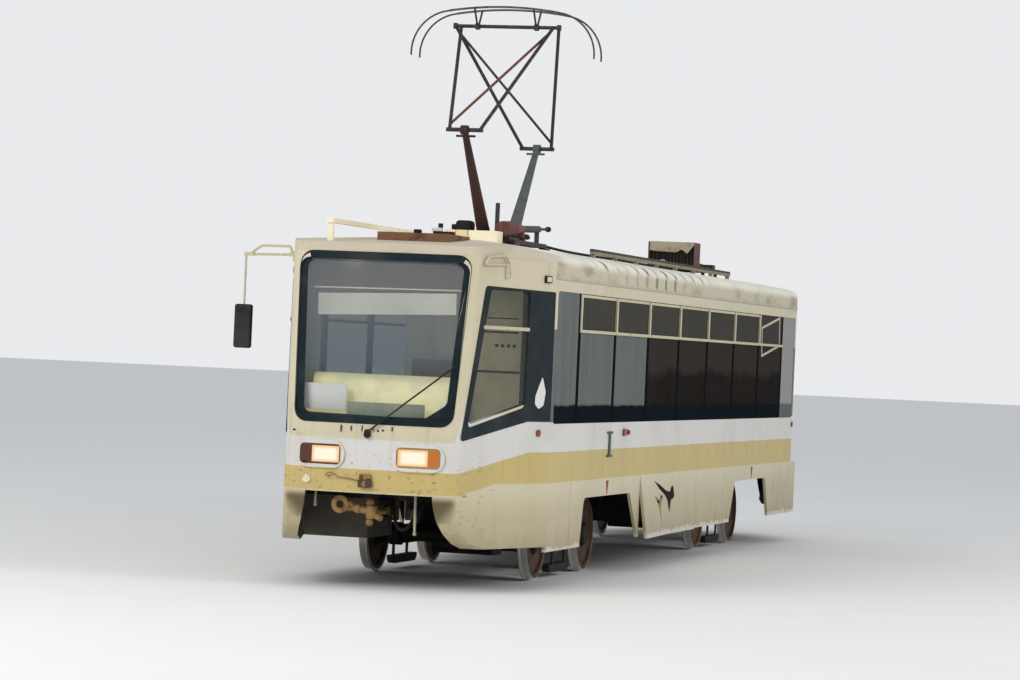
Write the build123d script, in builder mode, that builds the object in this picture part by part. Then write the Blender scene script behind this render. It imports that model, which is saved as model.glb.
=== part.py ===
from build123d import *
import math
import os

# A four-axle city tram. Millimetres, +Z up, the front faces -Y and +X is the tram's left side.
# The origin is at mid-length and mid-width, on the plane that the wheel flanges stand on.

# Body
body_length = 15000
body_width = 2500
body_bottom = 400
sill_top = 975
window_bottom = 1535
window_top = 2725
side_top = 2840
roof_seam = 2985
roof_crown = 3200
roof_cove_width = 125
roof_cove_height = 95
roof_cove_bulge = 18
roof_brow_run = 110
roof_brow_rise = 90
roof_end_run = 2100
wall = 60
roof_wall = 45
quarter_front = 110
quarter_low_front = 1500
quarter_low_rear = 1075
quarter_rise = 1700
quarter_top_rear = 1115
quarter_top_front = 400
windscreen_bottom = 1520
windscreen_top = 2930
windscreen_low_half = 735
windscreen_high_half = 792
windscreen_radius = 95
rear_window_bottom = 1560
rear_window_top = 2700
rear_window_half = 640
lamp_offset = 450
lamp_height = 1190
lamp_length = 396
lamp_width = 180
lamp_corner = 40
lamp_depth = 70
ring_width = 36
mouth_top = 860
mouth_half = 585
mouth_low_half = 745
ring_seat = 12
ring_proud = 14
cornice_lip = 8
arch_top = 810
arch_radius = 90
bent_panel = (-2167, 577)
bent_splay = 95
bent_crease = -900
marker_place = 1289
mirror_setback = 440
mirror_x = 1370
mirror_top = 2486
mirror_bottom = 2090
mirror_foot = 364
mirror_bend = 14
folded_arm = [(240, 2922), (312, 2993), (583, 3013), (658, 2940)]
folded_arm_out = 30
seat_left = 870
board_setback = 180
driver_setback = 540
rail_offset = 420
rail_height = 2750
centre_sill = 400
centre_web = 40
generator_half = 430
generator_height = 590
generator_radius = 160
plate_half = 520
frame_setback = 540
coupler_pocket = 110
coupler_height = 690
coupler_pin = 20.5
coupler_setback = 180
eye_radius = 36
front_taper = 1520
rear_taper = 1350
nose_half_width = 800
nose_bulge = 90
nose_radius = 110
lean_start = 1400
lean = 170
chin_radius = 400
chin_turns = (0, 22, 42, 62, 90)
seam_gap = 0.5
fit_gap = 0.3

# Side windows, doors and steps
window_pitch = 1463
first_mullion = -4995
window_count = 7
mullion_width = 70
window_radius = 45
front_pillar = 80
rear_pillar = 70
glass_thickness = 6
glass_inset = 14
pane_recess = 12
pane_lap = 14
pane_joint = 4
vent_bottom = 2375
vent_top = 2732
vent_bar = 26
vent_depth = 7
vent_loose = 170
vent_margin = 24
door_top = 2700
door_thickness = 32
door_height_gap = 45
post_radius = 18
post_inset = 25
post_gap = 7
leaf_gap = 6
step_thickness = 15
step_tread = 290
step_bottom = 385
sweep_clearance = 12

# Floor and underframe
floor_bottom = 870
floor_thickness = 40
sill_width = 100
sill_depth = 125
frame_bottom = 790
skirt_bottom = 350
skirt_thickness = 30
skirt_gap = 6
rear_skirt = 320

# Running gear
bogie_offset = 3675
wheelbase = 1940
tread_radius = 355
flange_height = 22
wheel_width = 90
flange_width = 26
back_to_back = 1474
axle_radius = 65
bearing_gap = 0.4
beam_offset = 560
beam_width = 110
beam_bottom = 320
beam_top = 450
bolster_bottom = 570
bolster_top = 640
pivot_radius = 70
pivot_gap = 0.5
bogie_plate_top = 699.7

# Resistor box on the roof
bank_half = 280
bank_front = 4480
bank_rear = 4790
bank_top = 3570

# Hatch plate on the front slope of the roof
hatch_half = 340
hatch_start = 300
hatch_length = 750
hatch_proud = 5

# Current collector
mast_middle = -3490
shaft_offset = 515
shaft_half = 142
shaft_height = 3290
lower_arm = 1290
lower_angle = 48.2
upper_arm = 1770
tube_radius = 18
apex_half_width = 500
knee_half_width = 150
bow_half_width = 560
bow_spacing = 150
bow_rise = 190
bow_width = 34
bow_thickness = 18
bow_sag = 45
bow_drop = 500
horn_radius = 9
horn_half_width = 930
hook_post_top = 3625
motor_place = Vector(240, -4205, 3346)
arm_root_radius = 66
arm_tip_radius = 31
base_half_length = 620
base_half_width = 340
base_beam = 40
base_drop = 35
end_beam_recess = 20

half_width = body_width / 2
pane_outer = half_width - pane_recess + fit_gap + glass_thickness
half_length = body_length / 2
front_knee = half_length - front_taper
rear_knee = half_length - rear_taper
roof_flat_half = half_length - roof_end_run
end_window_front = front_pillar - front_knee
end_window_rear = rear_knee - rear_pillar
end_panel_rear = rear_knee + rear_skirt
frame_end = half_length - frame_setback
coupler_reach = half_length - coupler_setback
mirror_y = mirror_setback - half_length
nose_corner = half_length - nose_bulge
floor_top = floor_bottom + floor_thickness
axle_height = tread_radius + flange_height
face_radius = (nose_half_width**2 + nose_bulge**2) / (2 * nose_bulge)

os.makedirs("parts", exist_ok=True)


def save(piece, name):
    """Label a finished piece and write it under its own name."""
    piece.part.label = name
    export_step(piece.part, f"parts/{name}.step")


def block(x, y, z, mode=Mode.ADD):
    """Add a straight-sided piece between its limits in x, y and z."""
    middle = tuple((low + high) / 2 for low, high in (x, y, z))
    with Locations(middle):
        Box(x[1] - x[0], y[1] - y[0], z[1] - z[0], mode=mode)


def rod(start, end, radius, mode=Mode.ADD):
    """Add a round rod from one point to another."""
    start = Vector(*start)
    run = Vector(*end) - start
    with BuildSketch(Plane(origin=start, z_dir=run)) as section:
        Circle(radius)
    extrude(section.sketch, amount=run.length, mode=mode)


def disc(middle, direction, radius, thickness, mode=Mode.ADD):
    """Add a disc centred on a point, its axis along direction."""
    half = Vector(*direction).normalized() * (thickness / 2)
    rod(Vector(*middle) - half, Vector(*middle) + half, radius, mode)


def taper_slope(knee):
    """Sideways run of the tapered end for each millimetre along the body."""
    return (half_width - nose_half_width) / (nose_corner - knee)


def end_points(knee, inset, lean_back):
    """Knee distance, corner point and middle distance of one end of the body's outline."""
    slope = taper_slope(knee)
    stretch = math.hypot(1, slope)
    inner_knee = knee - inset * (stretch - 1) / slope
    corner_y = nose_corner - lean_back - inset
    corner_x = half_width - (corner_y - knee) * slope - inset * stretch
    return inner_knee, corner_x, corner_y, half_length - lean_back - inset


def body_plan(height, inset=0, lean_back=0):
    """Sketch the body's outline from above, moved in by inset, its end faces set back."""
    side = half_width - inset
    front, front_x, front_y, front_middle = end_points(front_knee, inset, lean_back)
    rear, rear_x, rear_y, rear_middle = end_points(rear_knee, inset, lean_back)
    with BuildSketch(Plane.XY.offset(height)) as plan:
        with BuildLine():
            Polyline((front_x, -front_y), (side, -front), (side, rear), (rear_x, rear_y))
            ThreePointArc((rear_x, rear_y), (0, rear_middle), (-rear_x, rear_y))
            Polyline((-rear_x, rear_y), (-side, rear), (-side, -front), (-front_x, -front_y))
            ThreePointArc((-front_x, -front_y), (0, -front_middle), (front_x, -front_y))
        make_face()
        corners = [corner for corner in plan.vertices() if abs(corner.Y) > rear_knee + nose_radius]
        fillet(corners, nose_radius - inset)
    return plan.sketch


def body_solid(inset):
    """The body as a full solid: a rounded chin, upright sides, and both ends leaning back above."""
    chin_top = body_bottom + chin_radius
    radius = chin_radius - inset
    chin = [(chin_top - radius * math.sin(math.radians(turn)), radius * (1 - math.cos(math.radians(turn))))
            for turn in chin_turns]
    with BuildPart() as form:
        for (high, high_back), (low, low_back) in zip(chin, chin[1:]):
            loft([body_plan(low, inset, low_back), body_plan(high, inset, high_back)], ruled=True)
        if inset:
            # The shell stays open below
            extrude(body_plan(body_bottom, inset, radius), amount=inset)
        extrude(body_plan(chin_top, inset), amount=lean_start - chin_top)
        loft([body_plan(lean_start, inset), body_plan(roof_seam, inset, lean)], ruled=True)
    return form.part


def roof_solid(inset):
    """The roof as a full solid: its plan, its cross-section and its side view, all met."""
    edge = half_width - inset
    cove = (edge - roof_cove_width, roof_seam + roof_cove_height - inset)
    crown = roof_crown - inset
    bulge = ((edge + cove[0]) / 2 + roof_cove_bulge, (roof_seam + cove[1]) / 2 + roof_cove_bulge)
    end = half_length - lean - inset
    brow = (end - roof_brow_run, roof_seam + roof_brow_rise - inset)
    with BuildPart() as form:
        extrude(body_plan(roof_seam, inset, lean), amount=roof_crown - roof_seam)
        with BuildSketch(Plane.XZ):
            with BuildLine():
                Line((-edge, roof_seam), (edge, roof_seam))
                ThreePointArc((edge, roof_seam), bulge, cove)
                ThreePointArc(cove, (0, crown), (-cove[0], cove[1]))
                ThreePointArc((-cove[0], cove[1]), (-bulge[0], bulge[1]), (-edge, roof_seam))
            make_face()
        extrude(amount=half_length, both=True, mode=Mode.INTERSECT)
        with BuildSketch(Plane.YZ):
            Polygon((-end, roof_seam), (-brow[0], brow[1]), (-roof_flat_half, crown),
                    (roof_flat_half, crown), brow, (end, roof_seam), align=None)
        extrude(amount=half_width, both=True, mode=Mode.INTERSECT)
    return form.part


body_outer = body_solid(0)
body_inner = body_solid(wall)


# Cab and rear shells


def side_face(end, side):
    """Plane of one tapered side wall: x runs back from its front or rear corner, y is height."""
    knee = front_knee if end < 0 else rear_knee
    run = Vector(side * (half_width - nose_half_width), -end * (nose_corner - knee), 0)
    origin = (side * nose_half_width, end * nose_corner, 0)
    outward = run.cross(Vector(0, 0, 1)) * (-end * side)
    return Plane(origin=origin, x_dir=Vector(0, 0, 1).cross(outward), z_dir=outward)


def quarter_window(plane, side, shrink=0):
    """Sketch one cab side window, its lower edge rising to the rear."""
    corners = [(quarter_front + shrink, quarter_low_front + shrink),
               (quarter_low_rear - shrink, quarter_rise + shrink),
               (quarter_top_rear - shrink, window_top - shrink),
               (quarter_top_front + shrink, window_top - shrink)]
    with BuildSketch(plane) as pane:
        Polygon([(side * along, height) for along, height in corners], align=None)
        fillet(pane.vertices(), window_radius)
    return pane.sketch


def windscreen_outline(shrink=0):
    """Sketch the windscreen opening as seen from ahead."""
    low = windscreen_bottom + shrink
    high = windscreen_top - shrink
    outline = Polygon((-windscreen_low_half + shrink, low), (windscreen_low_half - shrink, low),
                      (windscreen_high_half - shrink, high), (-windscreen_high_half + shrink, high),
                      align=None)
    fillet(outline.vertices(), windscreen_radius)


def rear_window_outline(shrink=0):
    """Sketch the rear window opening."""
    with Locations((0, (rear_window_bottom + rear_window_top) / 2)):
        RectangleRounded(2 * (rear_window_half - shrink), rear_window_top - rear_window_bottom - 2 * shrink,
                         windscreen_radius)


def face_plane(x, z, end=-1):
    """Plane that touches the bowed end face at a place, facing outwards."""
    back = face_radius - math.sqrt(face_radius**2 - x**2)
    outward = Vector(x / face_radius, end * math.sqrt(1 - (x / face_radius) ** 2), 0)
    place = (x, end * (half_length - back), z)
    return Plane(origin=place, x_dir=Vector(0, 0, 1).cross(outward), z_dir=outward)


def end_shell_openings(end):
    """Cut what both end shells share: quarter windows, lamp pockets and the coupler mouth."""
    for side in (-1, 1):
        if end < 0:
            window = quarter_window(side_face(end, side), side)
            extrude(window, amount=2 * wall, both=True, mode=Mode.SUBTRACT)
        with BuildSketch(face_plane(side * lamp_offset, lamp_height, end)) as pocket:
            RectangleRounded(lamp_length + 2 * fit_gap, lamp_width + 2 * fit_gap, lamp_corner + fit_gap)
        extrude(pocket.sketch, amount=2 * wall, both=True, mode=Mode.SUBTRACT)
        with BuildSketch(face_plane(side * lamp_offset, lamp_height, end).offset(-ring_seat)) as seat:
            SlotOverall(lamp_length + 2 * ring_width + 2 * fit_gap, lamp_width + 2 * ring_width + 2 * fit_gap)
        extrude(seat.sketch, amount=2 * ring_seat, mode=Mode.SUBTRACT)
    with BuildSketch(Plane.XZ.offset(-end * half_length)) as mouth:
        with BuildLine():
            Polyline((-mouth_low_half, body_bottom), (mouth_low_half, body_bottom))
            ThreePointArc((mouth_low_half, body_bottom), (mouth_half + 38, 640), (mouth_half, mouth_top))
            Line((mouth_half, mouth_top), (-mouth_half, mouth_top))
            ThreePointArc((-mouth_half, mouth_top), (-mouth_half - 38, 640), (-mouth_low_half, body_bottom))
        make_face()
    extrude(mouth.sketch, amount=chin_radius + 3 * wall, both=True, mode=Mode.SUBTRACT)


with BuildPart() as cab_shell:
    add(body_outer)
    add(body_inner, mode=Mode.SUBTRACT)
    block((-half_width, half_width), (-half_length, -front_knee), (body_bottom, roof_seam), Mode.INTERSECT)
    end_shell_openings(-1)
    with BuildSketch(Plane.XZ.offset(half_length)):
        windscreen_outline()
    extrude(amount=-(lean + nose_bulge + 2 * wall), mode=Mode.SUBTRACT)
save(cab_shell, "cab_shell")

with BuildPart() as rear_shell:
    add(body_outer)
    add(body_inner, mode=Mode.SUBTRACT)
    block((-half_width, half_width), (rear_knee, half_length), (body_bottom, roof_seam), Mode.INTERSECT)
    end_shell_openings(1)
    with BuildSketch(Plane.XZ.offset(-half_length)):
        rear_window_outline()
    extrude(amount=lean + nose_bulge + 2 * wall, mode=Mode.SUBTRACT)
    # The last skirt panels run on past the taper and lie in a step of the shell
    for side in (-1, 1):
        block(tuple(sorted((side * (half_width - skirt_thickness), side * (half_width + 10)))),
              (rear_knee - 1, end_panel_rear), (body_bottom, sill_top), Mode.SUBTRACT)
save(rear_shell, "rear_shell")

# Side walls and doorways

mullions = [first_mullion + step * window_pitch for step in range(window_count + 1)]
left_bays = [(end_window_front, mullions[0])]
left_bays += list(zip(mullions, mullions[1:]))
left_bays += [(mullions[-1], end_window_rear)]
right_bays = [(-5150, -3660), (-3660, -2180), (-720, 720), (2180, 3660), (3660, 5200)]

# Doorways on the right side: front edge, rear edge, number of leaves
doorways = [(-5950, -5200, 1), (-2140, -760, 2), (760, 2140, 2), (5270, 6020, 1)]
door_line = -(half_width - wall / 2)


def window_rows(bays):
    """Group neighbouring bays: a row of panes shares one recess in the wall."""
    rows = []
    for bay in bays:
        if rows and rows[-1][-1][1] == bay[0]:
            rows[-1].append(bay)
        else:
            rows.append([bay])
    return rows


def row_recess(row, shrink=0):
    """Sketch the recess that a row of panes lies in."""
    front = row[0][0] + mullion_width / 2 - pane_lap + shrink
    rear = row[-1][1] - mullion_width / 2 + pane_lap - shrink
    with Locations(((front + rear) / 2, (window_bottom + window_top) / 2)):
        RectangleRounded(rear - front, window_top - window_bottom + 2 * (pane_lap - shrink), window_radius)


def pane_limits(row, bay):
    """Front and rear edge of one pane: at the recess's end, or at the joint with the next pane."""
    lap = mullion_width / 2 - pane_lap + fit_gap
    front = bay[0] + (lap if bay == row[0] else pane_joint / 2)
    rear = bay[1] - (lap if bay == row[-1] else pane_joint / 2)
    return front, rear


def bay_pane(row, bay):
    """Sketch one pane of a row."""
    row_recess(row, fit_gap)
    front, rear = pane_limits(row, bay)
    with Locations(((front + rear) / 2, (window_bottom + window_top) / 2)):
        Rectangle(rear - front, window_top - window_bottom + 2 * pane_lap, mode=Mode.INTERSECT)


def side_wall(x, bays, gaps):
    """Sketch a side wall with its windows and doorways cut, as seen from the left side."""
    length = front_knee + rear_knee - 2 * seam_gap
    with BuildSketch(Plane.YZ.offset(x)) as outline:
        with Locations(((rear_knee - front_knee) / 2, (sill_top + side_top) / 2)):
            Rectangle(length, side_top - sill_top)
        for bay in bays:
            front = bay[0] + mullion_width / 2
            rear = bay[1] - mullion_width / 2
            with Locations(((front + rear) / 2, (window_bottom + window_top) / 2)):
                RectangleRounded(rear - front, window_top - window_bottom, window_radius, mode=Mode.SUBTRACT)
        for front, rear, _ in gaps:
            with Locations(((front + rear) / 2, (sill_top + door_top) / 2)):
                Rectangle(rear - front, door_top - sill_top, mode=Mode.SUBTRACT)
    return outline.sketch


with BuildPart() as side_left:
    extrude(side_wall(half_width - wall, left_bays, []), amount=wall)
    for row in window_rows(left_bays):
        with BuildSketch(Plane.YZ.offset(half_width - pane_recess)):
            row_recess(row)
        extrude(amount=pane_recess, mode=Mode.SUBTRACT)
save(side_left, "side_left")

with BuildPart() as side_right:
    extrude(side_wall(-half_width, right_bays, doorways), amount=wall)
    for row in window_rows(right_bays):
        with BuildSketch(Plane.YZ.offset(pane_recess - half_width)):
            row_recess(row)
        extrude(amount=-pane_recess, mode=Mode.SUBTRACT)
    # The beam over the doors is a part of its own
    block((-half_width, wall - half_width), (-front_knee, rear_knee), (door_top, door_top + fit_gap),
          Mode.SUBTRACT)
save(side_right, "side_right")

with BuildPart() as cornices:
    for side in (-1, 1):
        with BuildSketch(Plane.XZ.offset(-rear_knee + seam_gap)):
            outline = [(half_width - wall, side_top), (half_width - 4, side_top),
                       (half_width + cornice_lip, side_top + 18), (half_width + cornice_lip, side_top + 34),
                       (half_width, side_top + 44), (half_width, roof_seam), (half_width - wall, roof_seam)]
            Polygon([(side * across, height) for across, height in outline], align=None)
        extrude(amount=front_knee + rear_knee - 2 * seam_gap)
save(cornices, "cornices")

with BuildPart() as roof:
    add(roof_solid(0))
    add(roof_solid(roof_wall), mode=Mode.SUBTRACT)
save(roof, "roof")

# Skirt panels: front edge, rear edge and arch, the arch given as low front, low rear, high front, high rear
front_arch = (-4664, -2208, -4550, -2624)
rear_arch = (2450, 4784, 2715, 4523)
left_panels = [(-front_knee, -5100, None), (-5100, -2170, front_arch), (580, 2060, None), (2060, 5110, rear_arch),
               (5110, 6045, None), (6045, end_panel_rear, None)]
right_panels = [(-5200, -2170, front_arch), (-760, 760, None), (2140, 5110, rear_arch),
                (6045, end_panel_rear, None)]


def skirt_panel(x, front, rear, arch):
    """Sketch one skirt panel, its wheel arch cut out of the lower edge."""
    with BuildSketch(Plane.YZ.offset(x)) as outline:
        with Locations(((front + rear) / 2, (skirt_bottom + sill_top) / 2)):
            Rectangle(rear - front - skirt_gap, sill_top - skirt_bottom)
        if arch:
            low_front, low_rear, high_front, high_rear = arch
            Polygon((low_front, skirt_bottom), (low_rear, skirt_bottom), (high_rear, arch_top),
                    (high_front, arch_top), align=None, mode=Mode.SUBTRACT)
            fillet(outline.vertices().group_by(Axis.Y)[-2], arch_radius)
    return outline.sketch


with BuildPart() as skirts:
    for front, rear, arch in left_panels:
        extrude(skirt_panel(half_width - skirt_thickness, front, rear, arch), amount=skirt_thickness)
    for front, rear, arch in right_panels:
        extrude(skirt_panel(-half_width, front, rear, arch), amount=skirt_thickness)
    # The panel that is bent out at its front lower corner and torn
    for place, splay in ((bent_panel[0], bent_splay), (bent_crease, 26), (bent_panel[1], 0)):
        with BuildSketch(Plane.XZ.offset(-place)):
            inner = half_width - skirt_thickness
            Polygon((inner, sill_top), (half_width, sill_top), (half_width + splay, skirt_bottom - 12),
                    (inner + splay, skirt_bottom - 12), align=None)
    loft(ruled=True)
    with BuildSketch(Plane.YZ.offset(half_width - 2 * skirt_thickness)):
        Polygon((-1560, 760), (-1330, 700), (-1250, 760), (-1120, 735), (-1270, 640), (-1230, 430),
                (-1330, 620), align=None)
    extrude(amount=4 * skirt_thickness, mode=Mode.SUBTRACT)
save(skirts, "skirts")

# Glass

with BuildPart() as end_glass:
    with BuildSketch(Plane.XZ.offset(half_length)):
        windscreen_outline(fit_gap)
    extrude(amount=-(lean + nose_bulge + 2 * wall))
    with BuildSketch(Plane.XZ.offset(-half_length)):
        rear_window_outline(fit_gap)
    extrude(amount=lean + nose_bulge + 2 * wall)
    add(body_solid(glass_inset), mode=Mode.INTERSECT)
    add(body_solid(glass_inset + glass_thickness), mode=Mode.SUBTRACT)
save(end_glass, "end_glass")

with BuildPart() as side_glass:
    for side, bays in ((1, left_bays), (-1, right_bays)):
        for row in window_rows(bays):
            for bay in row:
                pane_low = side * pane_outer - (glass_thickness if side > 0 else 0)
                with BuildSketch(Plane.YZ.offset(pane_low)) as pane:
                    bay_pane(row, bay)
                extrude(pane.sketch, amount=glass_thickness)
    for side in (-1, 1):
        pane_face = side_face(-1, side).offset(-glass_inset - glass_thickness)
        extrude(quarter_window(pane_face, side, fit_gap), amount=glass_thickness)
save(side_glass, "side_glass")

# Opening top vents: a flat frame on the outside of each full pane, the last one on the left hangs askew


def vent_frame(limits, shrink=0, tilt=0, drop=0):
    """Sketch one top vent's frame between its front and rear limits."""
    length = limits[1] - limits[0] - 2 * shrink
    height = vent_top - vent_bottom
    with Locations(Location((sum(limits) / 2, (vent_bottom + vent_top) / 2 - drop, 0), (0, 0, tilt))):
        Rectangle(length, height)
        Rectangle(length - 2 * vent_bar, height - 2 * vent_bar, mode=Mode.SUBTRACT)


with BuildPart() as vent_frames:
    for bay in left_bays[1:-2]:
        with BuildSketch(Plane.YZ.offset(pane_outer)):
            vent_frame(pane_limits(left_bays, bay))
    with BuildSketch(Plane.YZ.offset(pane_outer)):
        vent_frame(left_bays[-2], vent_loose, 7, 66)
    extrude(amount=vent_depth)
    for row in window_rows(right_bays):
        for bay in row:
            with BuildSketch(Plane.YZ.offset(-pane_outer)):
                vent_frame(pane_limits(row, bay), vent_margin)
    extrude(amount=-vent_depth)
save(vent_frames, "vent_frames")

# Floor, steps and underframe
inner_side = half_width - wall
well_gap = 0.5


def leaf_sizes(front, rear, leaves):
    """Link length and leaf length of the door leaves in one doorway."""
    reach = (rear - front) / leaves - post_inset - leaf_gap / leaves
    swing = reach + post_radius + post_gap
    return swing / 2, swing - 2 * (post_radius + post_gap)


def well_plan(front, rear, grow=0):
    """Outline of a step well from above."""
    outer = -(half_width - skirt_thickness)
    inner = well_back + grow
    with Locations(((outer + inner) / 2, (front + rear) / 2)):
        Rectangle(inner - outer, rear - front + 2 * grow)


# The back of every step well stands clear of the longest leaf when it is open
well_back = door_line + max(2 * leaf_sizes(*doorway)[0] for doorway in doorways) + sweep_clearance

def swept_area(arm, jamb, way, steps=8):
    """Cut from a sketch what a gliding door leaf sweeps from its jamb inwards, with its clearance.

    Both ends of the leaf run along straight lines, so its face stays inside an astroid."""
    reach = 2 * arm
    grow = door_thickness / 2 + sweep_clearance
    turns = [math.radians(90 * step / steps) for step in range(steps + 1)]
    outline = [(-2 * grow, 0), (reach, 0)]
    for turn in turns:
        outline.append((reach * math.cos(turn) ** 3 + grow * math.sin(turn),
                        reach * math.sin(turn) ** 3 + grow * math.cos(turn)))
    outline.append((-2 * grow, reach))
    corners = [(door_line + depth, jamb + way * along) for along, depth in outline]
    Polygon(corners, align=None, mode=Mode.SUBTRACT)


with BuildPart() as floor:
    extrude(body_plan(floor_bottom, wall + seam_gap), amount=floor_thickness)
    floor_half = inner_side - sill_width - seam_gap
    block((-floor_half, floor_half), (-half_length, half_length), (floor_bottom, floor_top), Mode.INTERSECT)
    with BuildSketch(Plane.XY.offset(floor_bottom)):
        for front, rear, _ in doorways:
            well_plan(front, rear, step_thickness + well_gap)
    extrude(amount=floor_thickness, mode=Mode.SUBTRACT)
    # The boards between the wells are parts of their own
    seam = well_back + step_thickness + well_gap
    block((seam - fit_gap, seam), (-half_length, half_length), (floor_bottom, floor_top), Mode.SUBTRACT)
save(floor, "floor")

with BuildPart() as steps:
    for front, rear, leaves in doorways:
        arm, _ = leaf_sizes(front, rear, leaves)
        with BuildSketch(Plane.XY.offset(step_bottom)):
            well_plan(front, rear, step_thickness)
        extrude(amount=floor_top - step_bottom)
        with BuildSketch(Plane.XY.offset(step_bottom + step_thickness)):
            well_plan(front, rear)
        extrude(amount=floor_top - step_bottom, mode=Mode.SUBTRACT)
        # The middle step is a box of its own that bulges out between the sweeps of the leaves
        tread = door_line + step_tread
        back = well_back - fit_gap
        with BuildSketch(Plane.XY.offset(step_bottom + step_thickness + fit_gap)):
            with Locations(((tread + back) / 2, (front + rear) / 2)):
                Rectangle(back - tread, rear - front - 2 * fit_gap)
            swept_area(arm, front + post_inset, 1)
            if leaves == 2:
                swept_area(arm, rear - post_inset, -1)
        extrude(amount=(floor_top - step_bottom - step_thickness) / 2)
save(steps, "steps")

# Boxes below the floor: limits across, limits along and lower edge
underfloor_boxes = [((340, 1060), (-1700, -500), 470), ((340, 1060), (-300, 500), 520),
                    ((340, 980), (800, 1700), 500), ((-430, -300), (-1900, 1900), 640)]

# Cross members: place along the body and half length
cross_members = [(-6500, 1000), (-5100, 1170), (-2245, 1170), (0, 1170), (2245, 1170), (5165, 1170),
                 (6095, 1170), (6600, 900)]

with BuildPart() as underframe:
    sill_inner = inner_side - sill_width
    sill_outer = half_width - skirt_thickness
    sill_low = sill_top - sill_depth
    centre_outer = centre_sill + centre_web
    # Side sills, on the right in lengths between the step wells, each with its own cross members
    doorway_ends = [y for doorway in doorways for y in doorway[:2]] + [rear_knee]
    lengths = [(1, -front_knee + seam_gap, rear_knee - seam_gap)]
    for front, rear in zip(doorway_ends[1::2], doorway_ends[2::2]):
        end_gap = seam_gap if rear == rear_knee else step_thickness + well_gap
        lengths.append((-1, front + step_thickness + well_gap, rear - end_gap))
    for side, front, rear in lengths:
        block(tuple(sorted((side * sill_inner, side * sill_outer))), (front, rear), (sill_low, sill_top))
        for y, half in cross_members:
            if front < y < rear:
                block(tuple(sorted((side * (centre_outer + fit_gap), side * half))), (y - 40, y + 40),
                      (frame_bottom, floor_bottom - fit_gap))
    for y, half in (cross_members[0], cross_members[-1]):
        for side in (-1, 1):
            block(tuple(sorted((side * (centre_outer + fit_gap), side * half))), (y - 40, y + 40),
                  (frame_bottom, floor_bottom - fit_gap))
    # Ladder in the middle
    for side in (-1, 1):
        block((side * centre_sill - centre_web, side * centre_sill + centre_web), (-frame_end, frame_end),
              (frame_bottom, floor_bottom))
    end_rungs = [-generator_half, generator_half, 60 - frame_end, frame_end - 60]
    for y in [y for y, _ in cross_members] + end_rungs:
        block((-centre_sill, centre_sill), (y - 40, y + 40), (frame_bottom, floor_bottom))
    for end in (-1, 1):
        # The plate that rests on the bogie is bolted on below the frame
        y = end * bogie_offset
        block((-plate_half, plate_half), (y - 170, y + 170),
              (bogie_plate_top + fit_gap, frame_bottom - fit_gap))
        disc((0, y, bogie_plate_top), (0, 0, 1), pivot_radius + pivot_gap,
             2 * (floor_bottom - bogie_plate_top), Mode.SUBTRACT)
        # Coupler pocket under the end of the frame, with its pin
        y = end * (frame_end - 60)
        block((-coupler_pocket, coupler_pocket), (y - 60, y + 60),
              (coupler_height - 80, frame_bottom - fit_gap))
        block((-coupler_pocket + 25, coupler_pocket - 25), (y - 61, y + 61),
              (coupler_height - 50, coupler_height + 50), Mode.SUBTRACT)
        disc((0, y, coupler_height), (0, 0, 1), coupler_pin - bearing_gap, 110)
    # Equipment boxes, and the motor generator on two hangers
    for x, y, low in underfloor_boxes:
        block(x, y, (low, frame_bottom - fit_gap))
    generator_end = generator_half + 180
    rod((0, -generator_end, generator_height), (0, generator_end, generator_height), generator_radius)
    for end in (-1, 1):
        y = end * generator_half
        block((-60, 60), (y - 25, y + 25), (generator_height + generator_radius - 20, frame_bottom - fit_gap))
save(underframe, "underframe")

# Lamps, mirrors and wiper

with BuildPart() as end_lamps:
    for end in (-1, 1):
        for side in (-1, 1):
            with BuildSketch(face_plane(side * lamp_offset, lamp_height, end).offset(ring_seat / 2)):
                RectangleRounded(lamp_length, lamp_width, lamp_corner)
    extrude(amount=-lamp_depth)
save(end_lamps, "end_lamps")

with BuildPart() as lamp_rings:
    for end in (-1, 1):
        for side in (-1, 1):
            with BuildSketch(face_plane(side * lamp_offset, lamp_height, end).offset(-ring_seat)):
                SlotOverall(lamp_length + 2 * ring_width, lamp_width + 2 * ring_width)
                RectangleRounded(lamp_length + 2 * fit_gap, lamp_width + 2 * fit_gap, lamp_corner + fit_gap,
                                 mode=Mode.SUBTRACT)
            extrude(amount=ring_seat + ring_proud)
save(lamp_rings, "lamp_rings")

with BuildPart() as marker_lamps:
    for side in (-1, 1):
        with BuildSketch(side_face(-1, side)):
            with Locations((side * marker_place, 1437)):
                Circle(32)
        y = rear_knee - 60
        rod((side * half_width, y, 1437), (side * (half_width + 18), y, 1437), 32)
    with BuildSketch(face_plane(-573, 964)):
        Circle(38)
    extrude(amount=16)
    with BuildSketch(face_plane(-15, 946)):
        RectangleRounded(120, 70, 14)
    extrude(amount=40)
save(marker_lamps, "marker_lamps")


def cab_side(y):
    """Half-width of the body's outer face at a place along the tapered cab."""
    return half_width - (-y - front_knee) * taper_slope(front_knee)


def bent_loop(corners, bend, radius):
    """Add a closed loop of round rod with bent corners."""
    with BuildLine() as path:
        FilletPolyline(*corners, radius=bend, close=True)
    with BuildSketch(Plane(origin=path.line @ 0, z_dir=path.line % 0)) as section:
        Circle(radius)
    sweep(section.sketch, path=path.line)


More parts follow.
